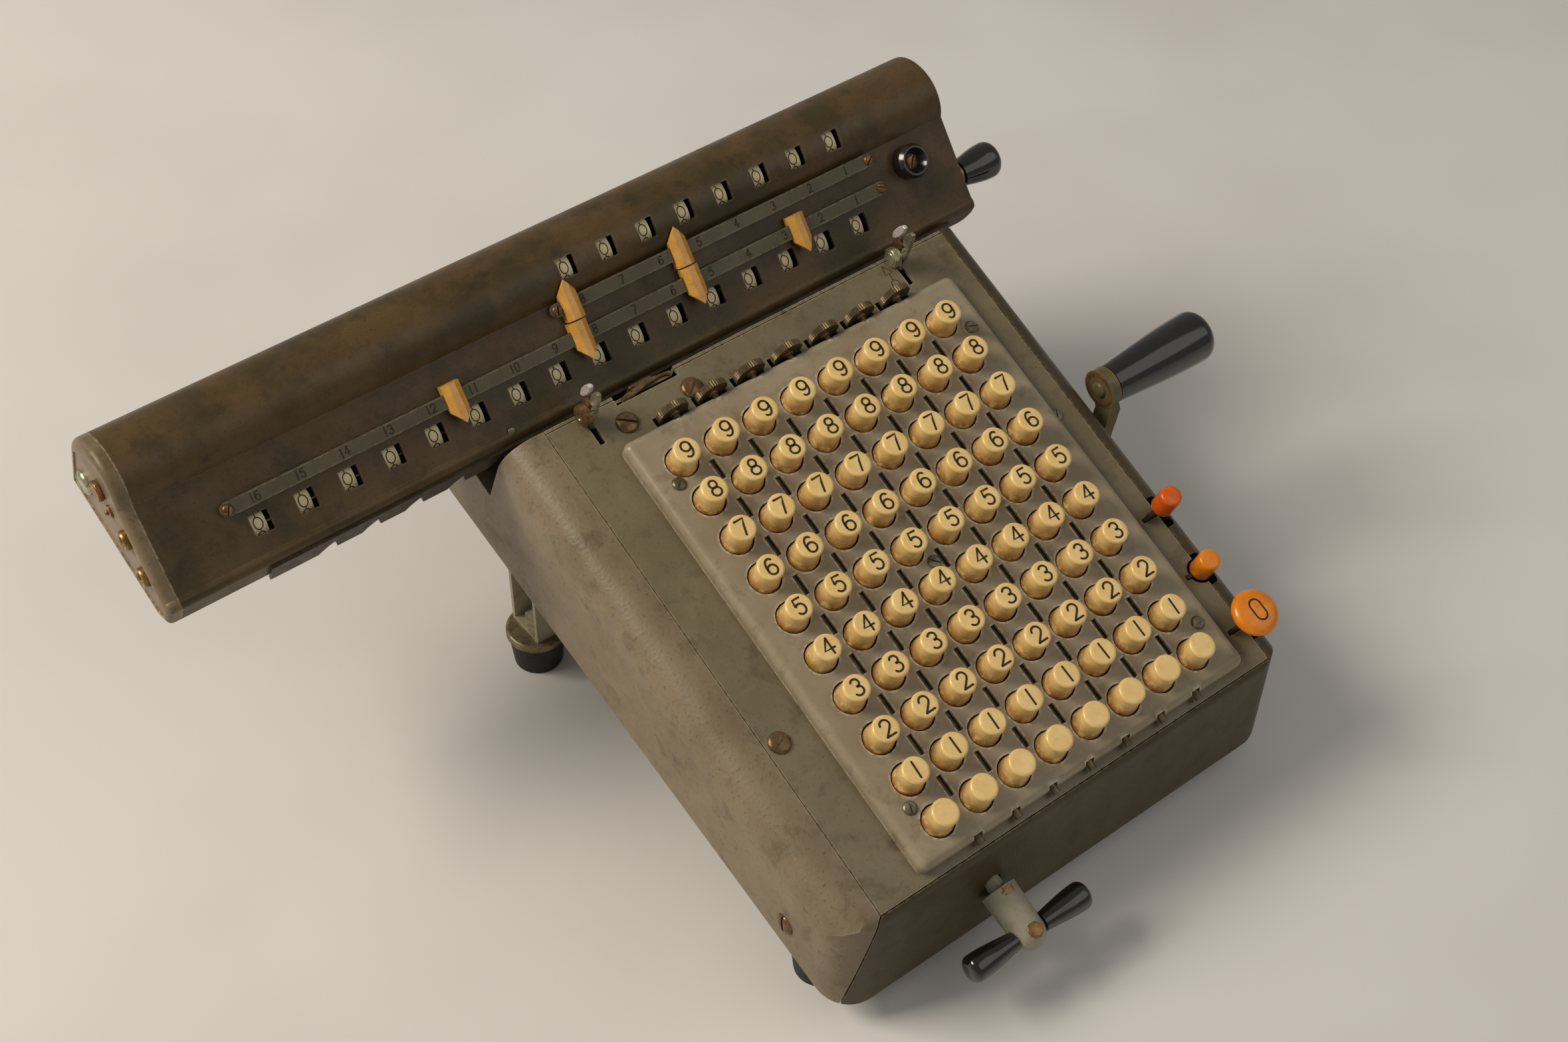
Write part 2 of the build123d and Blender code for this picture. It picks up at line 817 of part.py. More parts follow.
def decimal_marker(x):
    """Marker shaft with one flat, its thumbwheel at the rear and its end in the front notch."""
    wheel_y = tray_rear + thumbwheel_gap
    shaft_end = wheel_y + thumbwheel_width + 1.0
    shaft = rod_y(x, tray_front - marker_front_reach, shaft_end, marker_z, marker_radius)
    flat_z = marker_z + marker_radius - marker_flat / 2
    wide = 2 * marker_radius
    low = flat_z - marker_flat / 2
    flat = block(x - wide, x + wide, tray_front + 6.0, tray_rear - 6.0, low, flat_z + marker_flat)
    wheel = toothed_disc(thumbwheel_radius, thumbwheel_teeth, thumbwheel_tooth, thumbwheel_width)
    wheel = Pos(x, wheel_y + thumbwheel_width, marker_z) * Rot(90, 0, 0) * wheel
    return [(shaft - flat) + wheel]


# ---------------------------------------------------------------- crank and gears
def gear(index, bore):
    """One spur gear of the train, set so that its teeth mesh with its neighbours."""
    y, z = gear_centre(index)
    module = 2 * gear_pitch_radius / gear_teeth
    tooth = 2 * math.pi / gear_teeth
    phase = math.radians(train_angle_deg) + (tooth / 2 if index % 2 else 0.0)
    root = gear_pitch_radius - 1.15 * module
    tip = gear_pitch_radius + 0.8 * module
    points = []
    for count in range(gear_teeth):
        middle = phase + count * tooth
        for radius, share in ((root, -0.29), (tip, -0.12), (tip, 0.12), (root, 0.29)):
            angle = middle + share * tooth
            points.append((0, y + radius * math.cos(angle), z + radius * math.sin(angle)))
    disc = extrude(make_face(Polyline(*points, close=True)), amount=gear_width, dir=(1, 0, 0))
    disc = Pos(gear_x, 0, 0) * disc
    return disc - rod_x(gear_x - 1.0, gear_x + gear_width + 1.0, y, z, bore)


def idler_gear(index):
    """Idler gear with a long hub that fills its stud between the frame plates."""
    y, z = gear_centre(index)
    bore = stud_radius + shaft_fit
    hub_left = inner_frame_x + frame_sheet + gear_side_gap
    hub = rod_x(hub_left, frame_right - gear_side_gap, y, z, stud_radius + 2.5)
    hub -= rod_x(hub_left - 1.0, frame_right, y, z, bore)
    return [gear(index, bore) + hub]


def crank_web_outline():
    """Edge view of the crank's web, in x and the distance from its shaft: it steps out to the eye."""
    bend_end = crank_throw - crank_eye_radius
    bend_start = bend_end - crank_joggle_length
    thick = crank_arm_thickness
    return [
        (crank_arm_x, 0.0),
        (crank_arm_x, bend_start),
        (crank_eye_x, bend_end),
        (crank_eye_x, crank_throw),
        (crank_eye_x + thick, crank_throw),
        (crank_eye_x + thick, bend_end - thick / 3),
        (crank_arm_x + thick, bend_start - thick / 3),
        (crank_arm_x + thick, 0.0),
    ]


def crank_plate():
    """Stepped crank arm with a round eye at each end."""
    thick = crank_arm_thickness
    hub = rod_x(crank_arm_x, crank_arm_x + thick, crank_y, crank_z, crank_hub_radius)
    eye = rod_x(crank_eye_x, crank_eye_x + thick, crank_grip_y, crank_grip_z, crank_eye_radius)
    edge = Polyline(*[(x, y, -crank_web / 2) for x, y in crank_web_outline()], close=True)
    web = extrude(make_face(edge), amount=crank_web, dir=(0, 0, 1))
    return hub + eye + Pos(0, crank_y, crank_z) * Rot(crank_angle_deg, 0, 0) * web


def main_crank():
    """Crank arm with its shaft, grip pin and drive gear."""
    shaft = rod_x(inner_frame_x - 1.0, crank_arm_x, crank_y, crank_z, crank_shaft_radius)
    pin_start = crank_eye_x + crank_arm_thickness
    pin_end = pin_start + crank_grip_gap + crank_grip_length * crank_pin_share
    pin = rod_x(pin_start, pin_end, crank_grip_y, crank_grip_z, crank_pin_radius)
    rivet = rod_x(crank_eye_x - 0.8, crank_eye_x, crank_grip_y, crank_grip_z, crank_pin_radius)
    return [crank_plate() + shaft + pin + rivet, gear(0, crank_shaft_radius)]


def main_crank_grip():
    """Black tapered grip that turns on the crank's pin."""
    start = crank_eye_x + crank_arm_thickness + crank_grip_gap
    body = grip(crank_grip_root, crank_grip_belly, crank_grip_length)
    depth = crank_grip_length * crank_pin_share
    bore = Pos(0, 0, depth / 2) * Cylinder(crank_pin_radius + shaft_fit, depth + 0.4)
    return [Pos(start, crank_grip_y, crank_grip_z) * Rot(0, 90, 0) * (body - bore)]


def pinwheel(x):
    """One pinwheel with a fan of nine setting pins."""
    disc = rod_x(x - rotor_disc / 2, x + rotor_disc / 2, rotor_y, rotor_z, rotor_radius - 2.0)
    for index in range(pin_count):
        angle = math.radians(-60.0 + 15.0 * index)
        reach = rotor_radius - pin_radius
        y = rotor_y + reach * math.cos(angle)
        z = rotor_z + reach * math.sin(angle)
        middle = Pos(x, (rotor_y + y) / 2, (rotor_z + z) / 2)
        disc += middle * Rot(math.degrees(angle) - 90.0, 0, 0) * Cylinder(pin_radius, reach)
    return disc - rod_x(x - rotor_disc, x + rotor_disc, rotor_y, rotor_z, crank_shaft_radius)


def pinwheel_rotor():
    """Rotor shaft with a pinwheel for each key column and its gear."""
    shaft = rod_x(frame_left + 0.2, frame_right + frame_sheet - 0.2, rotor_y, rotor_z, crank_shaft_radius)
    wheels = [pinwheel(column * pitch) for column in range(columns)]
    return [shaft] + wheels + [gear(3, crank_shaft_radius)]


# ---------------------------------------------------------------- carriage
def up_slope(along, height):
    """Point in y and z at a distance up the carriage's front slope and square off it."""
    y = slope_foot_y + along * math.cos(slope_angle) - height * math.sin(slope_angle)
    z = slope_foot_z + along * math.sin(slope_angle) + height * math.cos(slope_angle)
    return y, z


def slope_frame(x, along, height=0.0):
    """Location on the slope with its z square off the surface and its y up the slope."""
    y, z = up_slope(along, height)
    return Pos(x, y, z) * Rot(math.degrees(slope_angle), 0, 0)


def carriage_outline(drop):
    """Closed section of the carriage in y and z, as a face across x, its underside lowered by a drop."""
    floor = carriage_floor - drop
    lip_end = lip_floor - drop
    back_y = bulge_y + bulge_rear_radius
    top_z = bulge_z + bulge_front_radius
    rear_z = top_z - bulge_rear_radius
    swing = math.sqrt(0.5)
    rear_mid = (0, bulge_y + bulge_rear_radius * swing, rear_z + bulge_rear_radius * swing)
    sweep = (math.pi / 2 + math.atan2(valley_z - bulge_z, valley_y - bulge_y)) / 2
    ahead = bulge_front_radius * math.cos(sweep)
    front_mid = (0, bulge_y + ahead, bulge_z + bulge_front_radius * math.sin(sweep))
    rear_arc = ThreePointArc((0, back_y, rear_z), rear_mid, (0, bulge_y, top_z))
    front_arc = ThreePointArc((0, bulge_y, top_z), front_mid, (0, valley_y, valley_z))
    lip_low = lip_top_z - lip_round
    lip_mid = (0, lip_front_y + (lip_top_y - lip_front_y) * 0.25, lip_low + lip_round * 0.75)
    slope = Polyline((0, valley_y, valley_z), (0, slope_foot_y, slope_foot_z), (0, lip_top_y, lip_top_z))
    lip = ThreePointArc((0, lip_top_y, lip_top_z), lip_mid, (0, lip_front_y, lip_low))
    undercut = [(0, lip_front_y, lip_end), (0, lip_front_y + lip_undercut, floor)]
    rest = Polyline((0, lip_front_y, lip_low), *undercut, (0, back_y, floor), (0, back_y, rear_z))
    return make_face(rear_arc + front_arc + slope + lip + rest)


def carriage_prism(x0, x1, inset=0.0, drop=0.0):
    """A prism with the carriage's section, moved in by a wall thickness."""
    face = carriage_outline(drop)
    if inset:
        face = offset(face, -inset, kind=Kind.INTERSECTION)
    return Pos(x0, 0, 0) * extrude(face, amount=x1 - x0, dir=(1, 0, 0))


def window_frame(kind, place):
    """Location of a register window's centre on the carriage's surface."""
    x = place * pitch
    if kind == "product":
        return slope_frame(x, (product_window_y - slope_foot_y) / math.cos(slope_angle))
    lean = math.acos((counter_window_y - bulge_y) / bulge_front_radius)
    z = bulge_z + bulge_front_radius * math.sin(lean)
    return Pos(x, counter_window_y, z) * Rot(math.degrees(lean) - 90.0, 0, 0)


def product_range():
    """Column numbers of the product register's places at the carriage's home position."""
    return range(columns - product_places, columns)


def counter_range():
    """Column numbers of the counter register's places at the carriage's home position."""
    return range(columns - counter_places, columns)


def dial_axis(kind):
    """y and z of a register's dial shaft."""
    centre = (window_frame(kind, 0) * Pos(0, 0, -dial_depth)).position
    return centre.Y, centre.Z


def carriage_cover():
    """Long pressed cover of the carriage with its windows."""
    outer = carriage_prism(carriage_left, carriage_right)
    inner = carriage_prism(carriage_left - 1.0, carriage_right + 1.0, carriage_sheet, 8.0)
    cover = outer - inner - lip_corner_cut()
    cuts = []
    window = Box(window_width, window_height, 8.0)
    for place in product_range():
        cuts.append(window_frame("product", place) * window)
    for place in counter_range():
        cuts.append(window_frame("counter", place) * window)
    for x, up in rail_screw_places():
        cuts.append(slope_frame(x, up) * shank_hole(rail_screw_radius))
    cuts.append(slope_frame(stop_x, stop_up) * shank_hole(rail_screw_radius))
    return cover - cuts


def lip_corner_cut():
    """What is left outside the rounded right end of the carriage's front lip."""
    side = carriage_right - lip_corner
    low = lip_floor + lip_corner
    rear = slope_foot_y
    square = block(side, carriage_right + 1.0, lip_front_y - 1.0, rear, lip_floor - 1.0, low)
    return square - rod_y(side, lip_front_y - 2.0, rear + 1.0, low, lip_corner)


def end_pocket_outline():
    """Outline of the sunk face inside the end casting's rib."""
    margin = end_pocket_margin
    rear = bulge_y + bulge_rear_radius - margin
    crown = bulge_front_radius - margin
    return [
        (lip_front_y + lip_undercut + margin / 2, carriage_floor + margin),
        (lip_front_y + margin, lip_floor + margin / 2),
        (lip_front_y + margin, lip_top_z - margin),
        up_slope(0, -margin),
        up_slope(up_y / math.cos(slope_angle) + 1.5, -margin),
        (bulge_y - crown * math.sqrt(0.5), bulge_z + crown * math.sqrt(0.5)),
        (bulge_y, bulge_z + crown),
        (bulge_y + crown * 0.8, bulge_z + crown * 0.45),
        (rear, bulge_z - margin),
        (rear, carriage_floor + margin),
    ]


def end_casting():
    """Left end casting with a rounded rib round a sunk face."""
    x0 = carriage_left - end_casting_width
    body = carriage_prism(x0, carriage_left)
    rim = body.faces().sort_by(Axis.X)[0].edges()
    body = fillet(rim, end_casting_round)
    body -= side_plate(end_pocket_outline(), x0 - 1.0, x0 + end_pocket)
    for y, z, radius in end_screw_places():
        body -= Pos(x0 + end_pocket, y, z) * Rot(0, -90, 0) * shank_hole(radius)
    return body


def right_end_plate():
    """Right end plate inside the cover, bored for the register and clearing shafts."""
    gap = carriage_sheet + carriage_side_gap
    body = carriage_prism(carriage_right - right_end_sheet, carriage_right, gap)
    above = region(-400.0, 400.0, 0.0, 200.0, carriage_base_top, 50.0)
    radius = clearing_shaft_radius + shaft_fit
    bore = rod_x(carriage_right - 5.0, carriage_right + 5.0, clearing_y, clearing_z, radius)
    return (body & above) - bore - lip_corner_cut()


def carriage_base():
    """Floor of the carriage with its two runners."""
    gap = carriage_sheet + carriage_side_gap
    back_y = bulge_y + bulge_rear_radius - gap
    front_y = runner_front_y - runner_width / 2
    plate = block(carriage_left, carriage_right, front_y, back_y, carriage_floor, carriage_base_top)
    for y in (runner_front_y, runner_rear_y):
        half = runner_width / 2
        low = carriage_floor - runner_drop
        plate += block(carriage_left, carriage_right, y - half, y + half, low, carriage_floor)
    return plate


def carriage_rails():
    """Two channels on the rear deck that hold the carriage's runners."""
    half = runner_width / 2 + runner_gap
    slot_floor = carriage_floor - runner_drop - runner_gap
    top = carriage_floor - 2.5
    channels = []
    for y in (runner_front_y, runner_rear_y):
        outer = block(rail_left, rail_right, y - half - rail_wall, y + half + rail_wall, rear_deck, top)
        slot = block(rail_left - 1.0, rail_right + 1.0, y - half, y + half, slot_floor, top + 1.0)
        channels.append(outer - slot)
    return channels


def rack_notch(x):
    """One notch of the rack: a rounded lead on the left, a short flat and a steep end."""
    low = rack_top - rack_depth
    high = low + rack_tooth_depth
    start = (x - rack_tooth_lead, 0, low)
    lead = ThreePointArc(start, (x - rack_tooth_lead * 0.42, 0, low + rack_tooth_depth * 0.68), (x, 0, high))
    end = x + rack_tooth_width - rack_tooth_lead
    under = [(end, 0, low - 1.0), (start[0], 0, low - 1.0)]
    steep = Polyline((x, 0, high), (end - 1.0, 0, high), (end, 0, low), *under, start)
    face = make_face(lead + steep)
    return Pos(0, lip_front_y + 1.0, 0) * extrude(face, amount=rack_thickness + 2.0, dir=(0, -1, 0))


def carriage_rack():
    """Stepping strip with a notch for each place, on the front face of the carriage's lip."""
    right = carriage_right - rack_end_gap
    front = lip_front_y - rack_thickness
    strip = block(rack_left, right, front, lip_front_y, rack_top - rack_depth, rack_top)
    first = math.ceil((rack_left + rack_tooth_lead - rack_phase) / pitch) + 1
    last = math.floor((right - rack_tooth_width - rack_phase) / pitch)
    return strip - [rack_notch(index * pitch + rack_phase) for index in range(first, last + 1)]


def dial(kind, place):
    """One number dial drum."""
    y, z = dial_axis(kind)
    x = place * pitch + dial_offset
    drum = rod_x(x - dial_width / 2, x + dial_width / 2, y, z, dial_radius)
    return drum - rod_x(x - dial_width, x + dial_width, y, z, register_shaft_radius + shaft_fit)


def register_shafts():
    """The two dial shafts and the clearing shaft's inner bearing block."""
    shafts = []
    for kind in ("product", "counter"):
        y, z = dial_axis(kind)
        shafts.append(rod_x(carriage_left, carriage_right - right_end_sheet, y, z, register_shaft_radius))
    return shafts


def rail_screw_places():
    """x and distance up the slope of the scale rails' screws."""
    inner = rail_screw_inset
    return [
        (upper_rail_left + inner, upper_rail_up),
        (rails_right - inner, upper_rail_up),
        (lower_rail_left + inner, lower_rail_up),
        (rails_right + 1.0 - inner, lower_rail_up),
    ]


def scale_rail(left, right, up):
    """A flat bar with round ends, standing off the slope on two spacers."""
    length = right - left
    bar = extrude(SlotOverall(length, rail_bar_width), amount=rail_bar_thickness)
    middle = slope_frame((left + right) / 2, up, rail_bar_lift)
    inner = rail_screw_inset
    rail = middle * bar
    spacer = Cylinder(rail_screw_radius * 0.95, rail_bar_lift, align=(Align.CENTER, Align.CENTER, Align.MIN))
    hole = Pos(0, 0, rail_bar_lift / 2) * Cylinder(rail_screw_radius / 2 + stem_fit, rail_bar_lift * 6)
    for x in (left + inner, right - inner):
        rail += slope_frame(x, up) * spacer
        rail -= slope_frame(x, up) * hole
    return rail


def scale_rails():
    """Upper and lower numbered rails."""
    upper = scale_rail(upper_rail_left, rails_right, upper_rail_up)
    lower = scale_rail(lower_rail_left, rails_right + 1.0, lower_rail_up)
    return [upper, lower]


def pointer(x, up, direction):
    """A faceted pointer with a house-shaped outline that rides on a rail."""
    half = pointer_width / 2
    side = direction
    outline = Polyline(
        (-half, -side * pointer_tail, 0),
        (half, -side * pointer_tail, 0),
        (half, side * pointer_shoulder, 0),
        (0, side * pointer_tip, 0),
        (-half, side * pointer_shoulder, 0),
        close=True,
    )
    body = extrude(make_face(outline), amount=pointer_height, dir=(0, 0, 1))
    eaves = pointer_height * pointer_eaves
    crest = pointer_width * pointer_crest
    wide = half + 1.0
    roof = [(-wide, eaves), (crest - half, pointer_height), (half - crest, pointer_height), (wide, eaves)]
    cut = Polyline(*[(x_side, 0, z) for x_side, z in roof + [(wide, 9.0), (-wide, 9.0)]], close=True)
    body -= Pos(0, 30, 0) * extrude(make_face(cut), amount=60.0, dir=(0, -1, 0))
    channel_z = rail_bar_lift + rail_bar_thickness / 2 - pointer_foot
    channel = Box(2 * pointer_width, rail_bar_width + 2 * pointer_fit, rail_bar_thickness + 2 * pointer_fit)
    body -= Pos(0, 0, channel_z) * channel
    inner = side * pointer_relief_start
    outer = side * (pointer_tip + 0.9)
    relief = [(inner, -1.0), (inner, 0.8), (outer, pointer_relief_rise), (outer, -1.0)]
    rise = Polyline(*[(0, y, z) for y, z in relief], close=True)
    under = Pos(-pointer_width, 0, 0) * extrude(make_face(rise), amount=2 * pointer_width, dir=(1, 0, 0))
    return slope_frame(x, up, pointer_foot) * (body - under)


def stop_button():
    """Black collar on the carriage with a sunk bowl for its slotted screw."""
    floor = stop_height - stop_bowl
    bore = rail_screw_radius / 2 + stem_fit
    top = stop_radius - stop_rim * 0.6
    outline = [
        (bore, 0),
        (stop_radius, 0),
        (stop_radius, stop_height * 0.75),
        (top, stop_height),
        (stop_radius - stop_rim, stop_height),
        (rail_screw_radius + 0.9, floor),
        (bore, floor),
    ]
    return slope_frame(stop_x, stop_up) * turned(outline)


def end_screw_places():
    """y, z and head radius of the fasteners in the left end casting."""
    places = [(y, z, dial_nut_radius) for y, z in dial_nuts_yz]
    places += [(*end_bolt_yz, end_bolt_radius), (*end_nut_yz, end_nut_radius), (*end_pin_yz, end_pin_radius)]
    return places


def end_fastener(radius):
    """A round head with a soft rim, standing on z = 0 on its stud."""
    head = Cylinder(radius, end_head_height, align=(Align.CENTER, Align.CENTER, Align.MIN))
    head = fillet(head.edges().group_by(Axis.Z)[-1], end_head_height * 0.3)
    return head + Pos(0, 0, -screw_shank_length / 2) * Cylinder(radius / 2, screw_shank_length)


def carriage_screws():
    """Slotted screws of the rails, the stop button and the left end casting."""
    screws = []
    lift = rail_bar_lift + rail_bar_thickness
    for index, (x, up) in enumerate(rail_screw_places()):
        screws.append(slope_frame(x, up, lift) * slotted_head(rail_screw_radius, 35.0 * index))
    sink = stop_height - stop_bowl
    stop = slotted_head(rail_screw_radius, 60.0)
    screws.append(slope_frame(stop_x, stop_up, sink) * stop)
    face_x = carriage_left - end_casting_width + end_pocket
    for y, z, radius in end_screw_places():
        screws.append(Pos(face_x, y, z) * Rot(0, -90, 0) * end_fastener(radius))
    return screws


# ---------------------------------------------------------------- clearing crank
def clearing_crank():
    """Clearing arm with its shaft and grip pin."""
    start = carriage_right + clearing_arm_gap
    end = start + clearing_arm_thickness
    hub = rod_x(start, end, clearing_y, clearing_z, clearing_eye_radius)
    eye = rod_x(start, end, clearing_grip_y, clearing_grip_z, clearing_eye_radius)
    throw = math.hypot(clearing_y - clearing_grip_y, clearing_z - clearing_grip_z)
    angle = math.degrees(math.atan2(clearing_grip_z - clearing_z, clearing_grip_y - clearing_y))
    web = block(start, end, 0, throw, -clearing_eye_radius * 0.7, clearing_eye_radius * 0.7)
    web = Pos(0, clearing_y, clearing_z) * Rot(angle, 0, 0) * web
    shaft = rod_x(carriage_right - 14.0, start, clearing_y, clearing_z, clearing_shaft_radius)
    pin = rod_x(end, end + 0.3 + clearing_grip_length * 0.5, clearing_grip_y, clearing_grip_z, 1.8)
    return [hub + eye + web + shaft + pin]


def clearing_grip():
    """Short black grip on the clearing crank."""
    start = carriage_right + clearing_arm_gap + clearing_arm_thickness + 0.3
    body = grip(clearing_grip_root, clearing_grip_belly, clearing_grip_length)
    depth = clearing_grip_length * 0.5 + 0.4
    bore = Pos(0, 0, depth / 2 - 0.2) * Cylinder(1.8 + shaft_fit, depth)
    return [Pos(start, clearing_grip_y, clearing_grip_z) * Rot(0, 90, 0) * (body - bore)]


# ---------------------------------------------------------------- shift handle
def shift_face_y():
    """y of the casing's front face at the height of the shift handle."""
    return casing_front - (cover_top - shift_z) * front_lean


def shift_handle():
    """Turning stem with a domed end, its shaft and the cross pin that holds the two grips."""
    stem_start = shift_face_y() - shift_stem_gap - shift_stem_root * front_lean
    length = stem_start - shift_hub_y
    round_end = shift_stem_radius
    side = Polyline((0, 0, length + round_end), (0, 0, 0), (shift_stem_root, 0, 0), (round_end, 0, length))
    swing = round_end * math.sqrt(0.5)
    dome = ThreePointArc((round_end, 0, length), (swing, 0, length + swing), (0, 0, length + round_end))
    stem = Pos(shift_x, stem_start, shift_z) * Rot(90, 0, 0) * revolve(make_face(side + dome), Axis.Z)
    shaft = rod_y(shift_x, stem_start, shift_plate_y + shift_plate_sheet + 1.0, shift_z, shift_shaft_radius)
    half = shift_stem_radius + shift_grip_length * shift_grip_bore_share
    pin = rod_x(shift_x - half, shift_x + half, shift_hub_y, shift_z, shift_pin_radius)
    return [stem + shaft + pin]


def shift_grips():
    """The two black grips on the cross pin."""
    body = grip(shift_grip_root, shift_grip_belly, shift_grip_length)
    depth = shift_grip_length * shift_grip_bore_share
    body -= Pos(0, 0, depth / 2) * Cylinder(shift_pin_radius, depth)
    right = Pos(shift_x + shift_stem_radius, shift_hub_y, shift_z) * Rot(0, 90, 0) * body
    left = Pos(shift_x - shift_stem_radius, shift_hub_y, shift_z) * Rot(0, -90, 0) * body
    return [left, right]


# ---------------------------------------------------------------- screws and clips
def casing_screws():
    """Slotted screws of the cover, the left shell and the keyboard plate."""
    screws = []
    for index, (x, y, radius) in enumerate(cover_screw_places()):
        screws.append(Pos(x, y, cover_top) * slotted_head(radius, 40.0 * index - 20.0))
    for index, (x, y) in enumerate(keyboard_screw_places()):
        head = slotted_head(plate_screw_radius, 55.0 * index, plate_screw_shank)
        screws.append(Pos(x, y, tray_top) * head)
    side = Pos(casing_left, side_screw_y, side_screw_z) * Rot(0, -90, 0)
    screws.append(side * slotted_head(cover_screw_radius, 25.0))
    return screws


def guide_clip(x):
    """Forked plate that stands in a slot of the cover, with a bolt through its foot."""
    half = clip_sheet / 2
    outline = [
        (clip_front_y, cover_top - 3.0),
        (clip_front_y, cover_top + 1.0),
        (27.0, cover_top + 2.0),
        (30.5, clip_z + 6.5),
        (33.2, clip_z + 6.5),
        (33.0, clip_z + 1.0),
        (34.6, clip_z + 1.0),
        (37.0, clip_z + 6.0),
        (39.4, clip_z + 5.0),
        (36.2, clip_z - 2.5),
        (33.5, cover_top),
        (29.4, cover_top - 3.0),
    ]
    plate = side_plate(outline, x - half, x + half)
    bolt = rod_x(x - half - 4.2, x - half, 30.2, clip_z - 0.5, clip_bolt_radius)
    bolt = fillet(bolt.edges().group_by(Axis.X)[0], 0.8)
    return [plate + bolt]


def carriage_catch():
    """Bent catch on the step wall, its tongue in the cover's rear opening."""
    left = catch_left + 4.0
    right = catch_right - 4.0
    wall = block(left + 4.0, right - 4.0, cover_rear, cover_rear + catch_sheet, cover_top - 16.0, catch_top)
    reach = cover_rear - 2.8
    tongue = block(left, right, reach, cover_rear + catch_sheet, catch_top - catch_sheet, catch_top)
    tongue = fillet(tongue.edges().filter_by(Axis.Z), 1.0)
    return [wall + tongue]


# ---------------------------------------------------------------- feet, built on the table
def tilt():
    """Turns the keyboard's frame so that the feet stand level."""
    return Rot(slope_deg, 0, 0)


def foot_places():
    """Ground centres of the rear and of the front feet after the tilt."""
    rear = (tilt() * Pos(0, rear_foot_y, rear_foot_z)).position
    front = (tilt() * Pos(0, front_foot_y, front_foot_z)).position
    sides = (foot_left_x, foot_right_x)
    return [(x, rear.Y, rear.Z) for x in sides], [(x, front.Y, rear.Z) for x in sides]


def foot(x, y, ground):
    """Rubber pad that tapers to the table."""
    top = ground + foot_height - foot_cap_height
    pad = turned([(0, ground), (foot_pad_bottom, ground), (foot_pad_top, top), (0, top)])
    return Pos(x, y, 0) * pad


def foot_cap(x, y, ground):
    """Metal cap of a rear foot."""
    top = ground + foot_height
    cap = rod_z(x, y, top - foot_cap_height, top, foot_cap_radius)
    return fillet(cap.edges().group_by(Axis.Z)[-1], 1.2)


def front_foot_cap(x, y, ground, roof):
    """Metal cap of a front foot, cut to the slope of the base plate it stands under."""
    top = ground + foot_height
    return rod_z(x, y, top - foot_cap_height, top + foot_cap_radius, foot_cap_radius) - roof


def tilted_floor():
    """Everything above the underside of the base plate, after the tilt."""
    y0 = -300.0
    y1 = 300.0
    outline = [
        (y0, bottom_z(y0, base_inset)),
        (y1, bottom_z(y1, base_inset)),
        (y1, 300.0),
        (y0, 300.0),
    ]
    return tilt() * side_plate(outline, -300.0, 300.0)


def foot_stirrup(x, y, ground, roof):
    """Bent strip from a foot's cap up to the base plate, with the nut inside it."""
    top = ground + foot_height
    half = stirrup_half
    wide = stirrup_width / 2
    web = block(x - wide, x + wide, y - half, y + half, top, top + stirrup_sheet)
    legs = block(x - wide, x + wide, y - half, y - half + stirrup_sheet, top, top + 90.0)
    legs += block(x - wide, x + wide, y + half - stirrup_sheet, y + half, top, top + 90.0)
    strip = web + legs - roof
    nut_low = top + stirrup_sheet
    nut = extrude(RegularPolygon(foot_nut_flats / 2, 6, major_radius=False), amount=foot_nut_height)
    bolt = rod_z(0, 0, 0, foot_nut_height + 1.0, foot_bolt_radius)
    return [strip, Pos(x, y, nut_low) * (nut + bolt)]


def feet():
    """Pads, caps and stirrups of the four feet, already on the table."""
    roof = tilted_floor()
    pads = []
    caps = []
    stirrups = []
    rear, front = foot_places()
    for x, y, ground in rear:
        pads.append(foot(x, y, ground))
        caps.append(foot_cap(x, y, ground))
        stirrups += foot_stirrup(x, y, ground, roof)
    for x, y, ground in front:
        pads.append(foot(x, y, ground))
        caps.append(front_foot_cap(x, y, ground, roof))
    return pads, caps, stirrups


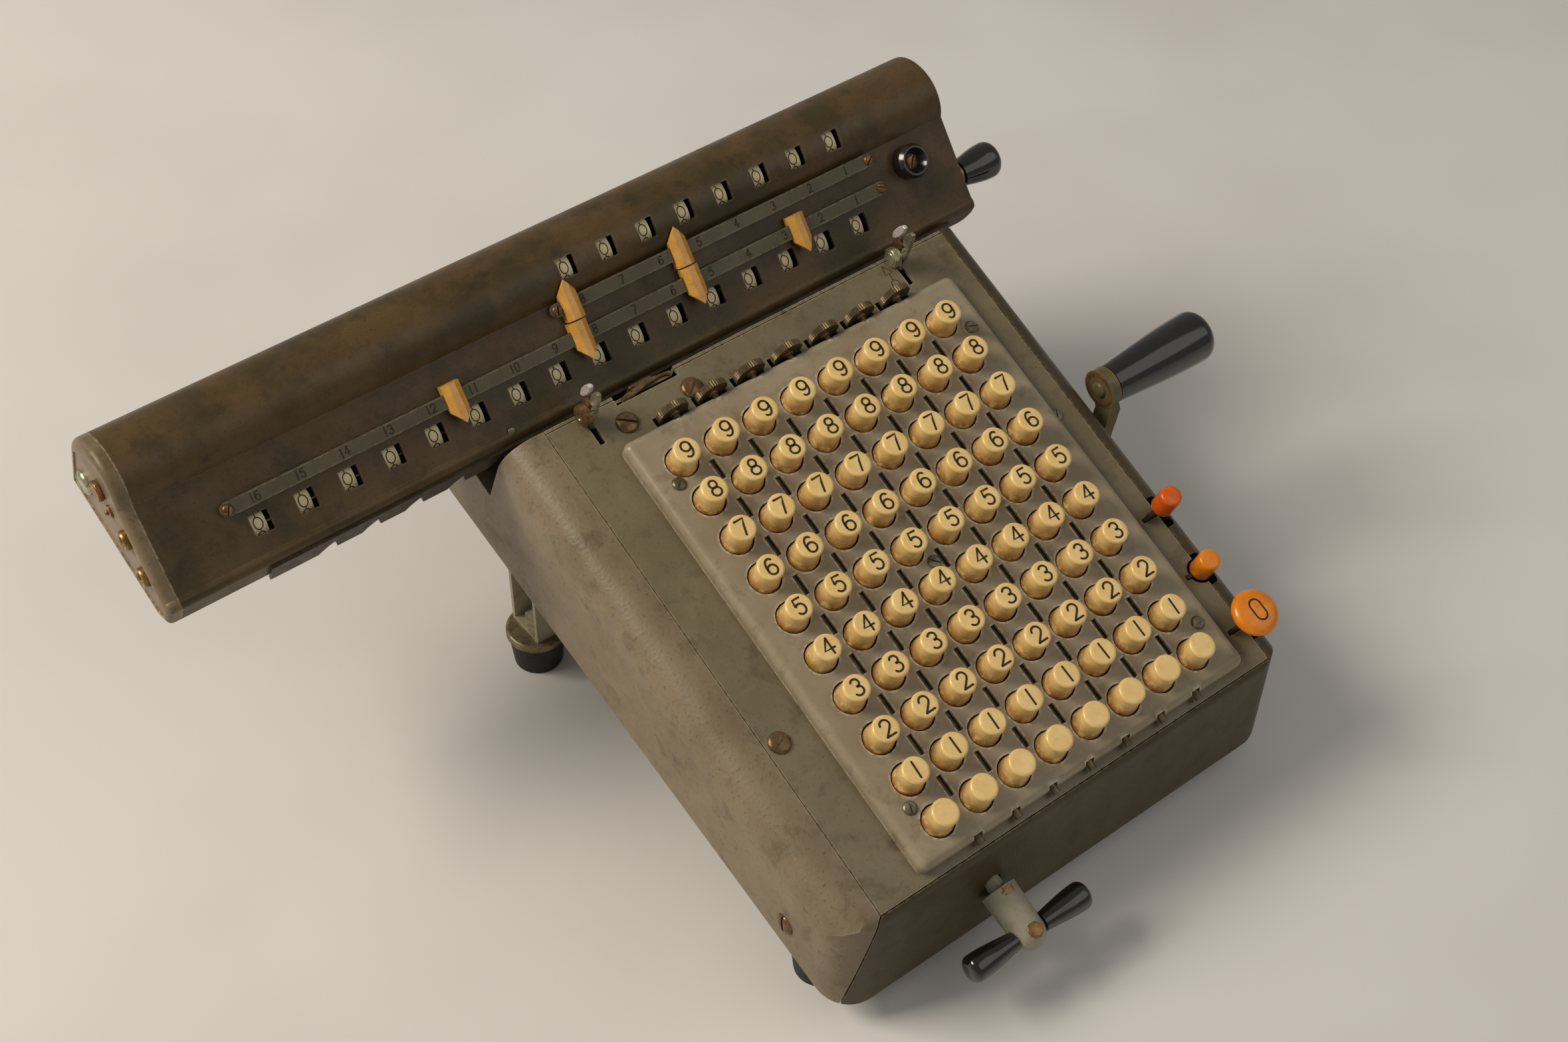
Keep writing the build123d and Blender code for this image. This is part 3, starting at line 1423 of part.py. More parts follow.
# ---------------------------------------------------------------- whole machine
def keyboard_frame_nodes():
    """Every node that is placed in the keyboard's frame."""
    left, front, right, top, rear = casing_pieces()
    nodes = {
        "left_side_shell": left_side_shell(left),
        "front_shell": front_shell(front),
        "right_side_shell": right_side_shell(right),
        "top_cover": top_cover(top),
        "rear_panel": rear_panel(rear),
        "keyboard_plate": keyboard_plate(),
        "base_plate": base_plate(),
        "frame_plates": frame_plates(),
        "frame_ties": frame_ties(),
        "key_guide_plate": key_guide_plate(),
        "carriage_rails": carriage_rails(),
        "casing_screws": casing_screws(),
        "clips_and_catch": guide_clip(clip_left_x) + guide_clip(clip_right_x) + carriage_catch(),
        "rear_function_key": function_key(rear_key_y, rear_key_top),
        "middle_function_key": function_key(middle_key_y, middle_key_top),
        "zero_function_key": zero_key(),
        "main_crank": main_crank(),
        "main_crank_grip": main_crank_grip(),
        "idler_gear_1": idler_gear(1),
        "idler_gear_2": idler_gear(2),
        "pinwheel_rotor": pinwheel_rotor(),
        "carriage_cover": carriage_cover(),
        "carriage_left_end": end_casting(),
        "carriage_right_end": right_end_plate(),
        "carriage_base": carriage_base(),
        "carriage_rack": carriage_rack(),
        "register_shafts": register_shafts(),
        "product_dials": [dial("product", place) for place in product_range()],
        "counter_dials": [dial("counter", place) for place in counter_range()],
        "scale_rails": scale_rails(),
        "carriage_screws": carriage_screws(),
        "stop_button": stop_button(),
        "clearing_crank": clearing_crank(),
        "clearing_grip": clearing_grip(),
        "shift_handle": shift_handle(),
        "shift_grips": shift_grips(),
    }
    blank = key_blank()
    for column in range(columns):
        nodes[f"key_column_{column + 1}"] = key_column(column, blank)
    for index, x in enumerate(marker_places()):
        nodes[f"decimal_marker_{index + 1}"] = decimal_marker(x)
    for index, x in enumerate(upper_pointer_x):
        nodes[f"upper_pointer_{index + 1}"] = pointer(x, upper_rail_up, 1)
    for index, x in enumerate(lower_pointer_x):
        nodes[f"lower_pointer_{index + 1}"] = pointer(x, lower_rail_up, -1)
    return nodes


def as_list(shapes):
    """The separate solids of a shape or of a list of shapes."""
    items = shapes if isinstance(shapes, list) else [shapes]
    found = []
    for item in items:
        found += solids_of(item)
    return found


# the nodes that reach furthest left, right, forward, back and down
outermost_nodes = (
    "carriage_screws",
    "main_crank_grip",
    "shift_handle",
    "shift_grips",
    "rear_panel",
    "rubber_feet",
)


def machine():
    """Every node standing on its feet, origin under the middle of the whole machine."""
    nodes = {}
    for name, shapes in keyboard_frame_nodes().items():
        nodes[name] = [tilt() * solid for solid in as_list(shapes)]
    pads, caps, stirrups = feet()
    nodes["rubber_feet"] = as_list(pads)
    nodes["foot_caps"] = as_list(caps)
    nodes["foot_stirrups"] = as_list(stirrups)
    corners = [solid.bounding_box() for name in outermost_nodes for solid in nodes[name]]
    middle_x = (min(c.min.X for c in corners) + max(c.max.X for c in corners)) / 2
    middle_y = (min(c.min.Y for c in corners) + max(c.max.Y for c in corners)) / 2
    shift = Pos(-middle_x, -middle_y, -min(c.min.Z for c in corners))
    placed = {name: [shift * solid for solid in parts] for name, parts in nodes.items()}
    return placed, shift * tilt()


def main():
    """Writes one STEP file for each node."""
    os.makedirs("parts", exist_ok=True)
    nodes, _ = machine()
    for name, parts in nodes.items():
        export_step(Compound(children=parts), f"parts/{name}.step")


if __name__ == "__main__":
    main()
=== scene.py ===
"""A hand-cranked calculating machine: finishes, fine shapes, figures and studio."""

import math
import random

import bmesh
import bpy
from mathutils import Matrix, Vector


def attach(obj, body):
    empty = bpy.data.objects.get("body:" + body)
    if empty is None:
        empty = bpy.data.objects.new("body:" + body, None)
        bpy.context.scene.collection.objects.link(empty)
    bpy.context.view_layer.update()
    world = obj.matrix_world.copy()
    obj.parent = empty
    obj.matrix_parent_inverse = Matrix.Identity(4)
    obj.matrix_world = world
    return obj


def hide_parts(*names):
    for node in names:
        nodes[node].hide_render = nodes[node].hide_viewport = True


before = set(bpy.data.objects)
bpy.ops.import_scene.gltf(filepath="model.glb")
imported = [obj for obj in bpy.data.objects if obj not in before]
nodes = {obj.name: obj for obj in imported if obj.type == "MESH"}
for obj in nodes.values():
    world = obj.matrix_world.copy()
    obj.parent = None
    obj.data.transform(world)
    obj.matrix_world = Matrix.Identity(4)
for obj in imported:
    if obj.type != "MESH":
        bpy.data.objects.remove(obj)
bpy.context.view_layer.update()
dice = random.Random(7)

# ------------------------------------------------------------------ sizes, in millimetres
# The keyboard's frame: x along the key rows, y to the rear, z square to the keyboard plate,
# its origin at the top of the rear left key.
PITCH = 15.875
COLUMNS = 8
ROWS = 10
SLOPE = math.radians(20.9)
KEYBOARD_ORIGIN = Vector((-0.0194, 0.0238956, 0.123128))
KEYBOARD = Matrix.Translation(KEYBOARD_ORIGIN) @ Matrix.Rotation(SLOPE, 4, "X")
TRAY_TOP = -8.7
COVER_TOP = -14.3
TRAY_REAR = 15.1
CASING_LEFT = -47.6
STEM_BOTTOM = -29.5
# the carriage's front slope: its foot in y and z, its angle, and the two scale rails on it
SLOPE_FOOT = (44.0, -14.0)
FRONT_SLOPE = math.radians(30.78)
RAIL_TOP = 2.5
UPPER_RAIL_UP = 23.6
LOWER_RAIL_UP = 12.7
RAIL_SCREWS = (
    (-9.3, UPPER_RAIL_UP),
    (122.3, UPPER_RAIL_UP),
    (-135.5, LOWER_RAIL_UP),
    (123.3, LOWER_RAIL_UP),
)
# the dial drums: radius, shift along x, and each register's axis in y and z with its window's lean
DRUM_RADIUS = 7.6
DRUM_SHIFT = -0.6
PRODUCT_AXIS = (52.31, -19.99, 30.78)
COUNTER_AXIS = (77.13, -1.33, 28.8)
# the orange function keys, their flat stems and the big zero key
FUNCTION_X = 137.2
FUNCTION_STEM = (131.2, 138.4, 0.6)
REAR_KEY = (-95.0, 0.6)
MIDDLE_KEY = (-119.6, -4.4)
ZERO_KEY = (-143.0, -0.6)
CLIPS = (-16.7, 115.0)
CATCH = (-4.8, 20.2)
# screws of the casing: their place and how far their slot is turned
REAR_COVER_SCREWS = ((-5.4, 22.5, -37), (21.4, 22.9, 38))
SIDE_COVER_SCREW = (-26.45, -95.0, 20)
STRIP_SCREW = (129.4, -47.3, 65)
TRAY_SCREWS = (
    (-5.44, -6.35, 35),
    (120.17, -6.35, -20),
    (-5.44, -134.94, 70),
    (120.17, -134.94, 10),
    (53.26, -71.44, -45),
)
SHELL_SCREW = (-140.0, -45.0, 30)
CRANK_EYE = (154.5, -45.38, -20.82)
SHIFT_HUB = (14.8, -185.4, -34.2)
SHIFT_RADIUS = 5.9
SHIFT_SCREW_Y = -171.0
STOP = (138.5, 16.6)
STOP_FLOOR = 2.8
# the end casting's sunk face, and the y and z of what stands on it
END_FACE_X = -164.6
END_HEAD = 1.95
END_SCREW = (87.8, -18.2)
END_NUT = (78.6, -7.1)
END_PIN = (72.2, -10.4)
DIAL_NUTS = ((62.2, -12.0), (51.0, -17.4))
LIP_RIVET = (-39.7, 38.9, -16.8)
# the marker shafts: their level, how far right of the middle they lie, their wheel's front
MARKER_Z = -11.3
MARKER_SHIFT = 1.1
WHEEL_GAP = 1.6


def at(x=0.0, y=0.0, z=0.0, turn=None):
    """A place in the keyboard's frame, given in millimetres, as a matrix in metres."""
    spot = KEYBOARD @ Matrix.Translation(Vector((x, y, z)) / 1000)
    return spot @ turn if turn else spot


def on_slope(x, along, height=0.0):
    """A place on the carriage's front slope: its y runs up the slope and its z stands off it."""
    y = SLOPE_FOOT[0] + along * math.cos(FRONT_SLOPE) - height * math.sin(FRONT_SLOPE)
    z = SLOPE_FOOT[1] + along * math.sin(FRONT_SLOPE) + height * math.cos(FRONT_SLOPE)
    return at(x, y, z, Matrix.Rotation(FRONT_SLOPE, 4, "X"))


def turned(degrees, axis):
    """A rotation as a matrix."""
    return Matrix.Rotation(math.radians(degrees), 4, axis)


# turns an outline in y and z into a plate across x
SIDEWAYS = Matrix(((0, 0, 1, 0), (1, 0, 0, 0), (0, 1, 0, 0), (0, 0, 0, 1)))


# ------------------------------------------------------------------ colours and patterns
# how much of the noise a stain takes to fade in, and between which cosines of the angle that
# rounding turns the normal by an edge goes from whole to worn
STAIN_BLEND = 0.18
FLAT_COSINE = 0.995
WORN_COSINE = 0.86


def colour(hexcode):
    """An sRGB hex colour as linear red, green, blue and alpha."""
    parts = [int(hexcode[i : i + 2], 16) / 255 for i in (1, 3, 5)]
    linear = [c / 12.92 if c <= 0.04045 else ((c + 0.055) / 1.055) ** 2.4 for c in parts]
    return (*linear, 1.0)


def per_mm(size):
    """Texture scale that gives a pattern of that size in millimetres."""
    return 1000.0 / size


def add(tree, kind, inputs=None, **settings):
    """Adds a node with its settings, each input a value or another node's output."""
    node = tree.nodes.new(kind)
    for key, value in settings.items():
        setattr(node, key, value)
    for key, value in (inputs or {}).items():
        if isinstance(value, bpy.types.NodeSocket):
            tree.links.new(value, node.inputs[key])
        else:
            node.inputs[key].default_value = value
    return node


def new_finish(name):
    """An empty material with its shader, and the object's own coordinates."""
    material = bpy.data.materials.new(name)
    material.use_nodes = True
    tree = material.node_tree
    shader = tree.nodes["Principled BSDF"]
    place = add(tree, "ShaderNodeTexCoord").outputs["Object"]
    return material, tree, shader, place


def uneven(tree, place, size, low, high):
    """A value that drifts between two levels in clouds of a size in millimetres."""
    spots = {"Vector": place, "Scale": per_mm(size), "Detail": 5.0, "Roughness": 0.6}
    cloud = add(tree, "ShaderNodeTexNoise", spots).outputs["Fac"]
    reach = {"Value": cloud, "From Min": 0.3, "From Max": 0.7, "To Min": low, "To Max": high}
    return add(tree, "ShaderNodeMapRange", reach).outputs["Result"]


def stained(tree, place, under, over, size, rare, share, detail=5.0, limit=None):
    """A colour with patches of another: their size, how rare they are and how strong."""
    spots = {"Vector": place, "Scale": per_mm(size), "Detail": detail, "Roughness": 0.65}
    cloud = add(tree, "ShaderNodeTexNoise", spots).outputs["Fac"]
    reach = {"Value": cloud, "From Min": rare, "From Max": rare + STAIN_BLEND, "To Max": share}
    mask = add(tree, "ShaderNodeMapRange", reach).outputs["Result"]
    if limit:
        mask = add(tree, "ShaderNodeMath", {0: mask, 1: limit}, operation="MULTIPLY").outputs[0]
    return add(tree, "ShaderNodeMix", {0: mask, 6: under, 7: over}, data_type="RGBA").outputs[2]


def rubbed_edges(tree, place, paint, bare, reach):
    """Pale edges found by rounding the normal over a reach in millimetres: a coat worn through,
    and on the keyboard plate partly a painted highlight.
    """
    soft = add(tree, "ShaderNodeBevel", {"Radius": reach / 1000}, samples=4).outputs["Normal"]
    flat = add(tree, "ShaderNodeNewGeometry").outputs["Normal"]
    agree = add(tree, "ShaderNodeVectorMath", {0: soft, 1: flat}, operation="DOT_PRODUCT")
    turn = {"Value": agree.outputs["Value"], "From Min": FLAT_COSINE, "From Max": WORN_COSINE}
    edge = add(tree, "ShaderNodeMapRange", turn).outputs["Result"]
    return stained(tree, place, paint, bare, 1.7, 0.4, 1.0, 4.0, edge)


def settled_grime(tree, place, paint, grime, start, full, strength):
    """Darkening that thickens between two levels in the keyboard's frame, in millimetres: grime
    with painted shade low down on the keys.
    """
    normal = KEYBOARD.to_3x3() @ Vector((0, 0, 1))
    facing = {0: place, 1: tuple(normal)}
    along = add(tree, "ShaderNodeVectorMath", facing, operation="DOT_PRODUCT")
    level = normal.dot(KEYBOARD_ORIGIN)
    reach = {"Value": along.outputs["Value"], "To Max": strength}
    reach.update({"From Min": level + start / 1000, "From Max": level + full / 1000})
    depth = add(tree, "ShaderNodeMapRange", reach).outputs["Result"]
    return stained(tree, place, paint, grime, 3.4, 0.34, 1.0, 5.0, depth)


def relief(tree, shader, place, size, depth, detail=2.0, stretch=(1.0, 1.0, 1.0)):
    """Bumps of a size and a depth in millimetres, drawn out along an axis if asked."""
    drawn = add(tree, "ShaderNodeMapping", {"Vector": place, "Scale": stretch}).outputs["Vector"]
    grain = {"Vector": drawn, "Scale": per_mm(size), "Detail": detail}
    height = add(tree, "ShaderNodeTexNoise", grain).outputs["Fac"]
    bump = add(tree, "ShaderNodeBump", {"Height": height, "Distance": depth / 1000})
    tree.links.new(bump.outputs["Normal"], shader.inputs["Normal"])


# ------------------------------------------------------------------ recipes of the finishes
def enamel(name, hues, gloss, peel, peel_depth, spot=0.5, patch=38.0, edge=0.9):
    """Stoved enamel on pressed sheet: cloudy fading, grime, orange peel and worn edges."""
    film, faded, grime, bare = hues
    # real orange peel is finer than this: it is drawn coarser, or it wouldn't show
    material, tree, shader, place = new_finish(name)
    paint = stained(tree, place, colour(film), colour(faded), patch, 0.4, 1.0)
    paint = stained(tree, place, paint, colour(grime), 9.0, 0.54, 0.6, 6.0)
    paint = stained(tree, place, paint, colour(grime), peel, 0.58, spot, 2.0)
    paint = rubbed_edges(tree, place, paint, colour(bare), edge)
    tree.links.new(paint, shader.inputs["Base Color"])
    shader.inputs["Specular IOR Level"].default_value = 0.38
    sheen = uneven(tree, place, 14.0, gloss - 0.07, gloss + 0.09)
    tree.links.new(sheen, shader.inputs["Roughness"])
    relief(tree, shader, place, peel, peel_depth)
    return material


def metal(name, hues, gloss, patch=9.0, lean=1.0):
    """Worn metal: brown staining, dark pits and fine scratches drawn out along one axis."""
    bright, stain, dark = hues
    material, tree, shader, place = new_finish(name)
    skin = stained(tree, place, colour(bright), colour(stain), patch, 0.42, 1.0, 6.0)
    skin = stained(tree, place, skin, colour(dark), 1.1, 0.54, 0.8)
    tree.links.new(skin, shader.inputs["Base Color"])
    shader.inputs["Metallic"].default_value = lean
    dull = uneven(tree, place, 3.0, gloss - 0.1, gloss + 0.15)
    tree.links.new(dull, shader.inputs["Roughness"])
    # real scratches are hair-fine: they are drawn 0.3 mm wide, or they wouldn't show
    relief(tree, shader, place, 0.3, 0.012, stretch=(1.0, 0.06, 1.0))
    return material


def moulding(name, hues, gloss, clear=0.0, speck=4.0, share=0.5, glow=0.0, shaded_foot=None):
    """Moulded plastic: clouded colour, dirt in patches, and darkening towards a foot level that is
    partly grime and partly painted shade.
    """
    skin, shade, grime = hues
    material, tree, shader, place = new_finish(name)
    body = stained(tree, place, colour(skin), colour(shade), 6.0, 0.36, 1.0, 4.0)
    body = stained(tree, place, body, colour(grime), speck, 0.55, share, 6.0)
    if shaded_foot:
        body = settled_grime(tree, place, body, colour(grime), *shaded_foot)
    tree.links.new(body, shader.inputs["Base Color"])
    shader.inputs["Subsurface Weight"].default_value = glow
    shader.inputs["Subsurface Radius"].default_value = (0.002, 0.001, 0.0005)
    shader.inputs["Coat Weight"].default_value = clear
    shader.inputs["Coat Roughness"].default_value = 0.1
    dull = uneven(tree, place, 2.2, gloss - 0.04, gloss + 0.1)
    tree.links.new(dull, shader.inputs["Roughness"])
    relief(tree, shader, place, 2.6, 0.02, 3.0)
    return material


# Stoved enamel on the pressed cover: satin, olive-grey gone brownish, finely dimpled.
cover_enamel = enamel(
    "cover_enamel", ("#70664e", "#7b7159", "#4a3e29", "#a39679"), 0.34, 0.8, 0.025
)
# The left side shell is the same enamel, coarser, with a pebbled skin.
side_enamel = enamel(
    "side_enamel", ("#766953", "#84765f", "#4d402d", "#a19376"), 0.42, 1.3, 0.12, 0.6
)
# The front and the right shell take a darker copy of the same enamel: painted shade on the faces
# turned away from the light.
front_painted_shade_enamel = enamel(
    "front_painted_shade_enamel", ("#42371f", "#4d412a", "#2b2313", "#877656"), 0.42, 1.3, 0.1, 0.6
)
# The raised keyboard plate wears a lighter, warmer coat, with wide, very pale edges that are
# partly polished by hands and partly a painted highlight.
tray_enamel = enamel(
    "tray_enamel", ("#8e826a", "#998e78", "#5d5240", "#d8cfbe"), 0.3, 0.7, 0.015, 0.25, edge=1.7
)
# The carriage: dark brown-olive satin enamel with brown dust in cloudy patches.
carriage_enamel = enamel(
    "carriage_enamel", ("#3f341a", "#554226", "#271e10", "#756244"), 0.4, 0.9, 0.06, 0.6, 26.0
)
# The carriage's end casting is a greyer coat over cast metal, worn bright along its rib.
casting_enamel = enamel(
    "casting_enamel", ("#6c5d45", "#7f6e56", "#3a2f1f", "#b3a58b"), 0.38, 1.3, 0.08
)
# Painted scale rails, greyer than the carriage, with rubbed edges.
rail_paint = enamel(
    "rail_paint", ("#504a36", "#5c5440", "#332c1e", "#8b8268"), 0.38, 0.9, 0.03, 0.4, 18.0
)
# Grey paint over steel on the turning handle, thin and rubbed.
handle_paint = enamel(
    "handle_paint", ("#8d8974", "#989380", "#6b5f45", "#b5ad94"), 0.38, 1.4, 0.04, 0.3, 14.0
)
# Olive paint on the crank arm, rubbed through to copper brown at its edges.
crank_paint = enamel(
    "crank_paint", ("#565032", "#655d3d", "#33301c", "#94603f"), 0.34, 1.4, 0.04, 0.4, 12.0
)
# Pale zinc paint on the stirrups of the feet.
stirrup_paint = enamel(
    "stirrup_paint", ("#9d957b", "#aba38a", "#6b5f45", "#c4bda8"), 0.4, 1.2, 0.03, 0.3
)
# Steel screw heads that have browned with age and thumb grease.
brown_steel = metal("brown_steel", ("#8a7252", "#6b5137", "#34261a"), 0.34, 5.0, 0.7)
# Plain turned steel, dull grey with brown film.
grey_steel = metal("grey_steel", ("#8d8674", "#6c6450", "#3e3628"), 0.32, 5.0, 0.8)
# Bare sheet steel of the clip levers, polished where it is touched.
bright_steel = metal("bright_steel", ("#b9b3a2", "#948c77", "#5f5643"), 0.26, 4.0, 0.75)
# Machined steel of the hidden works, under a thin film of old oil.
works_steel = metal("works_steel", ("#77746d", "#5d5850", "#3a362f"), 0.4)
# The notched rack strip, steel gone nearly black with oil. The same near-black on the function
# keys' stems is painted shade of the slot under each cap.
rack_steel = metal("rack_steel", ("#54493a", "#42382a", "#251d13"), 0.4, 7.0, 0.5)
# Marker shafts and thumbwheels: steel that has gone olive-brown.
marker_steel = metal("marker_steel", ("#7c6e52", "#5b4d35", "#2c2316"), 0.32, 3.0, 0.6)
# Copper rivets and screws, dulled to a warm brown.
copper_rivet = metal("copper_rivet", ("#a37750", "#7f5a3c", "#4b3426"), 0.34, 4.0, 0.6)
# Brass nuts with a dark film in their corners.
brass_nut = metal("brass_nut", ("#9a7b46", "#735a31", "#3b2d19"), 0.32, 3.0, 0.7)
# A nickel plated screw, greenish grey and still bright.
nickel_screw = metal("nickel_screw", ("#c0bda4", "#a09c82", "#646050"), 0.28, 4.0, 0.8)
# Spun caps of the feet, grey-brown and rubbed.
spun_cap = metal("spun_cap", ("#8f8468", "#75684c", "#463b29"), 0.38, 5.0, 0.6)
# A polished tab that catches the light above each guide clip.
polished_tab = metal("polished_tab", ("#e6dcdc", "#cdc0c0", "#9a8a84"), 0.2, 3.0, 0.4)
# Aged cream plastic of the key caps, warm and waxy, brown low down: partly grime where fingers
# miss it and partly painted shade near the plate.
key_cream = moulding(
    "key_cream", ("#f0d28e", "#e9c67e", "#94602a"), 0.26, 0.35, 3.4, 0.2, 0.15, (-2.5, -8.5, 0.95)
)
# Reddish orange plastic of the rear function key, darker at its foot with painted shade.
bright_orange = moulding(
    "bright_orange",
    ("#e0640a", "#cf5606", "#8a3a08"),
    0.3,
    clear=0.2,
    speck=3.0,
    share=0.2,
    glow=0.04,
    shaded_foot=(-2.0, -9.0, 0.5),
)
# Amber orange plastic of the middle and the zero key, with brown specks of grime, darker at its
# foot with painted shade.
amber_orange = moulding(
    "amber_orange",
    ("#ec8e06", "#e07e04", "#9a4a04"),
    0.3,
    clear=0.2,
    speck=3.0,
    share=0.2,
    glow=0.04,
    shaded_foot=(-6.5, -12.0, 0.9),
)
# Pale amber plastic of the pointers, a little translucent.
pointer_cream = moulding(
    "pointer_cream", ("#e0aa4e", "#d29b40", "#8d5f22"), 0.24, 0.4, 3.0, 0.3, 0.15
)
# Black moulded grips, polished by hands.
black_grip = moulding("black_grip", ("#0b0a08", "#120f0b", "#2a2317"), 0.12, 0.7, 5.0, 0.25)
# The black collar on the carriage, duller than the grips.
black_collar = moulding("black_collar", ("#120f0c", "#1b1712", "#3d3423"), 0.2, 0.5, 2.0, 0.4)
# Rubber pads under the feet, grey with dust.
foot_rubber = moulding("foot_rubber", ("#12110d", "#1b1914", "#36301f"), 0.6, 0.0, 2.5, 0.5)
# Dial drums: off-white enamel, yellowed.
dial_white = moulding("dial_white", ("#f3e6be", "#e8d7a6", "#9a7c48"), 0.4, 0.1, 2.0, 0.25)
# Black paint rubbed into the engraved figures of keys and dials.
figure_black = moulding("figure_black", ("#20170e", "#2b2014", "#4a3b27"), 0.6, 0.0, 1.5, 0.4)
# Figures stamped in the rails, darkened by dirt.
stamped_figure = moulding("stamped_figure", ("#241d12", "#2e2517", "#4d412c"), 0.7, 0.0, 1.5, 0.4)


# ------------------------------------------------------------------ mesh makers
def as_object(name, work, body, finish, smooth=35.0):
    """Makes a piece of a bmesh, smooth but for its edges, and lets it ride on a body."""
    bmesh.ops.recalc_face_normals(work, faces=work.faces)
    mesh = bpy.data.meshes.new(name)
    work.to_mesh(mesh)
    work.free()
    for polygon in mesh.polygons:
        polygon.use_smooth = True
    mesh.set_sharp_from_angle(angle=math.radians(smooth))
    piece = bpy.data.objects.new(name, mesh)
    bpy.context.scene.collection.objects.link(piece)
    for material in finish if isinstance(finish, (list, tuple)) else [finish]:
        mesh.materials.append(material)
    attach(piece, body)
    return piece


def stands_for(piece, node):
    """Says that a piece replaces a CAD node by hiding the node; the piece itself is not used."""
    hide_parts(node)


def lathe(work, profile, matrix=Matrix(), steps=64, slot=0):
    """Turns a profile of (radius, z) in millimetres about z into closed faces."""
    rings = []
    for radius, z in profile:
        if radius < 1e-6:
            rings.append([work.verts.new(matrix @ (Vector((0, 0, z)) / 1000))])
            continue
        ring = []
        for index in range(steps):
            angle = 2 * math.pi * index / steps
            point = Vector((radius * math.cos(angle), radius * math.sin(angle), z)) / 1000
            ring.append(work.verts.new(matrix @ point))
        rings.append(ring)
    for first, second in zip(rings, rings[1:]):
        for index in range(steps):
            after = (index + 1) % steps
            corners = [first[index % len(first)], first[after % len(first)]]
            corners += [second[after % len(second)], second[index % len(second)]]
            kept = list(dict.fromkeys(corners))
            work.faces.new(kept).material_index = slot


def merge(work, part, matrix=Matrix(), slot=0):
    """Moves one bmesh into another, placed and with a material slot."""
    part.transform(matrix)
    for face in part.faces:
        face.material_index = slot
    mesh = bpy.data.meshes.new("part")
    part.to_mesh(mesh)
    part.free()
    work.from_mesh(mesh)
    bpy.data.meshes.remove(mesh)


def slab(work, outline, low, high, matrix=Matrix(), soft=0.0, slot=0):
    """A plate with an outline in x and y from low to high, its edges softened."""
    part = bmesh.new()
    bottom = [part.verts.new(Vector((x, y, low)) / 1000) for x, y in outline]
    base = part.faces.new(bottom)
    raised = bmesh.ops.extrude_face_region(part, geom=[base])
    top = [item for item in raised["geom"] if isinstance(item, bmesh.types.BMVert)]
    bmesh.ops.translate(part, verts=top, vec=Vector((0, 0, (high - low) / 1000)))
    bmesh.ops.recalc_face_normals(part, faces=part.faces)
    if soft:
        edges = [edge for edge in part.edges if edge.calc_face_angle(0.0) > 0.6]
        rounding = {"offset": soft / 1000, "segments": 3, "affect": "EDGES"}
        bmesh.ops.bevel(part, geom=edges, clamp_overlap=True, **rounding)
    merge(work, part, matrix, slot)


def polygon_outline(radius, sides, turn=0.0):
    """The corners of a regular polygon with that outer radius."""
    angles = [math.radians(turn) + 2 * math.pi * index / sides for index in range(sides)]
    return [(radius * math.cos(a), radius * math.sin(a)) for a in angles]


def arc(cx, cy, rx, ry, start, end, count=14):
    """Points on part of an ellipse, angles in degrees."""
    turns = [math.radians(start + (end - start) * index / count) for index in range(count + 1)]
    return [(cx + rx * math.cos(a), cy + ry * math.sin(a)) for a in turns]


# how far figures stand off their surface in millimetres, and their spacing in heights
FIGURE_LIFT = 0.05
FIGURE_SPACING = 0.78
# Figures as pen strokes in a box 1 high, centred on the origin, as an engraver cuts them.
FIGURES = {
    "0": [arc(0, 0, 0.31, 0.5, 90, 450, 32)],
    "1": [[(0, 0.5), (0, -0.5)]],
    "2": [
        arc(0, 0.2, 0.3, 0.3, 170, -20, 18) + [(0.2, -0.02), (-0.29, -0.48)],
        [(-0.29, -0.48), (0.33, -0.48)],
    ],
    "3": [arc(-0.02, 0.25, 0.26, 0.25, 150, -80, 16), arc(-0.02, -0.22, 0.3, 0.27, 85, -150, 18)],
    "4": [[(0.12, 0.5), (-0.34, -0.18), (0.34, -0.18)], [(0.12, 0.5), (0.12, -0.5)]],
    "5": [
        [(0.26, 0.48), (-0.2, 0.48), (-0.25, 0.06)] + arc(-0.01, -0.17, 0.3, 0.32, 142, -145, 20),
    ],
    "6": [arc(0.02, -0.02, 0.32, 0.5, 205, 55), arc(0, -0.2, 0.3, 0.3, 170, 530, 28)],
    "7": [[(-0.3, 0.48), (0.3, 0.48), (0.12, 0.1), (-0.08, -0.5)]],
    "8": [arc(0, 0.25, 0.24, 0.24, -90, 270, 24), arc(0, -0.23, 0.3, 0.27, 90, 450, 26)],
    "9": [arc(-0.02, 0.02, 0.32, 0.5, 25, -125), arc(0, 0.2, 0.3, 0.3, -10, 350, 28)],
}


def stroke(work, points, width, matrix, bend=None):
    """A flat ribbon with round ends along points in millimetres, bent over a drum if asked."""
    half = width / 2
    left, right = [], []
    for index, (x, y) in enumerate(points):
        before = points[max(index - 1, 0)]
        after = points[min(index + 1, len(points) - 1)]
        run = Vector((after[0] - before[0], after[1] - before[1])).normalized()
        left.append((x - run.y * half, y + run.x * half))
        right.append((x + run.y * half, y - run.x * half))
    shapes = [[left[i], left[i + 1], right[i + 1], right[i]] for i in range(len(points) - 1)]
    for x, y in (points[0], points[-1]):
        shapes.append([(x + px, y + py) for px, py in polygon_outline(half, 12)])
    for shape in shapes:
        corners = []
        for x, y in shape:
            spot = Vector((x, y, FIGURE_LIFT))
            if bend:
                reach = bend + FIGURE_LIFT
                spot = Vector((x, reach * math.sin(y / bend), reach * math.cos(y / bend)))
            corners.append(work.verts.new(matrix @ (spot / 1000)))
        work.faces.new(corners)


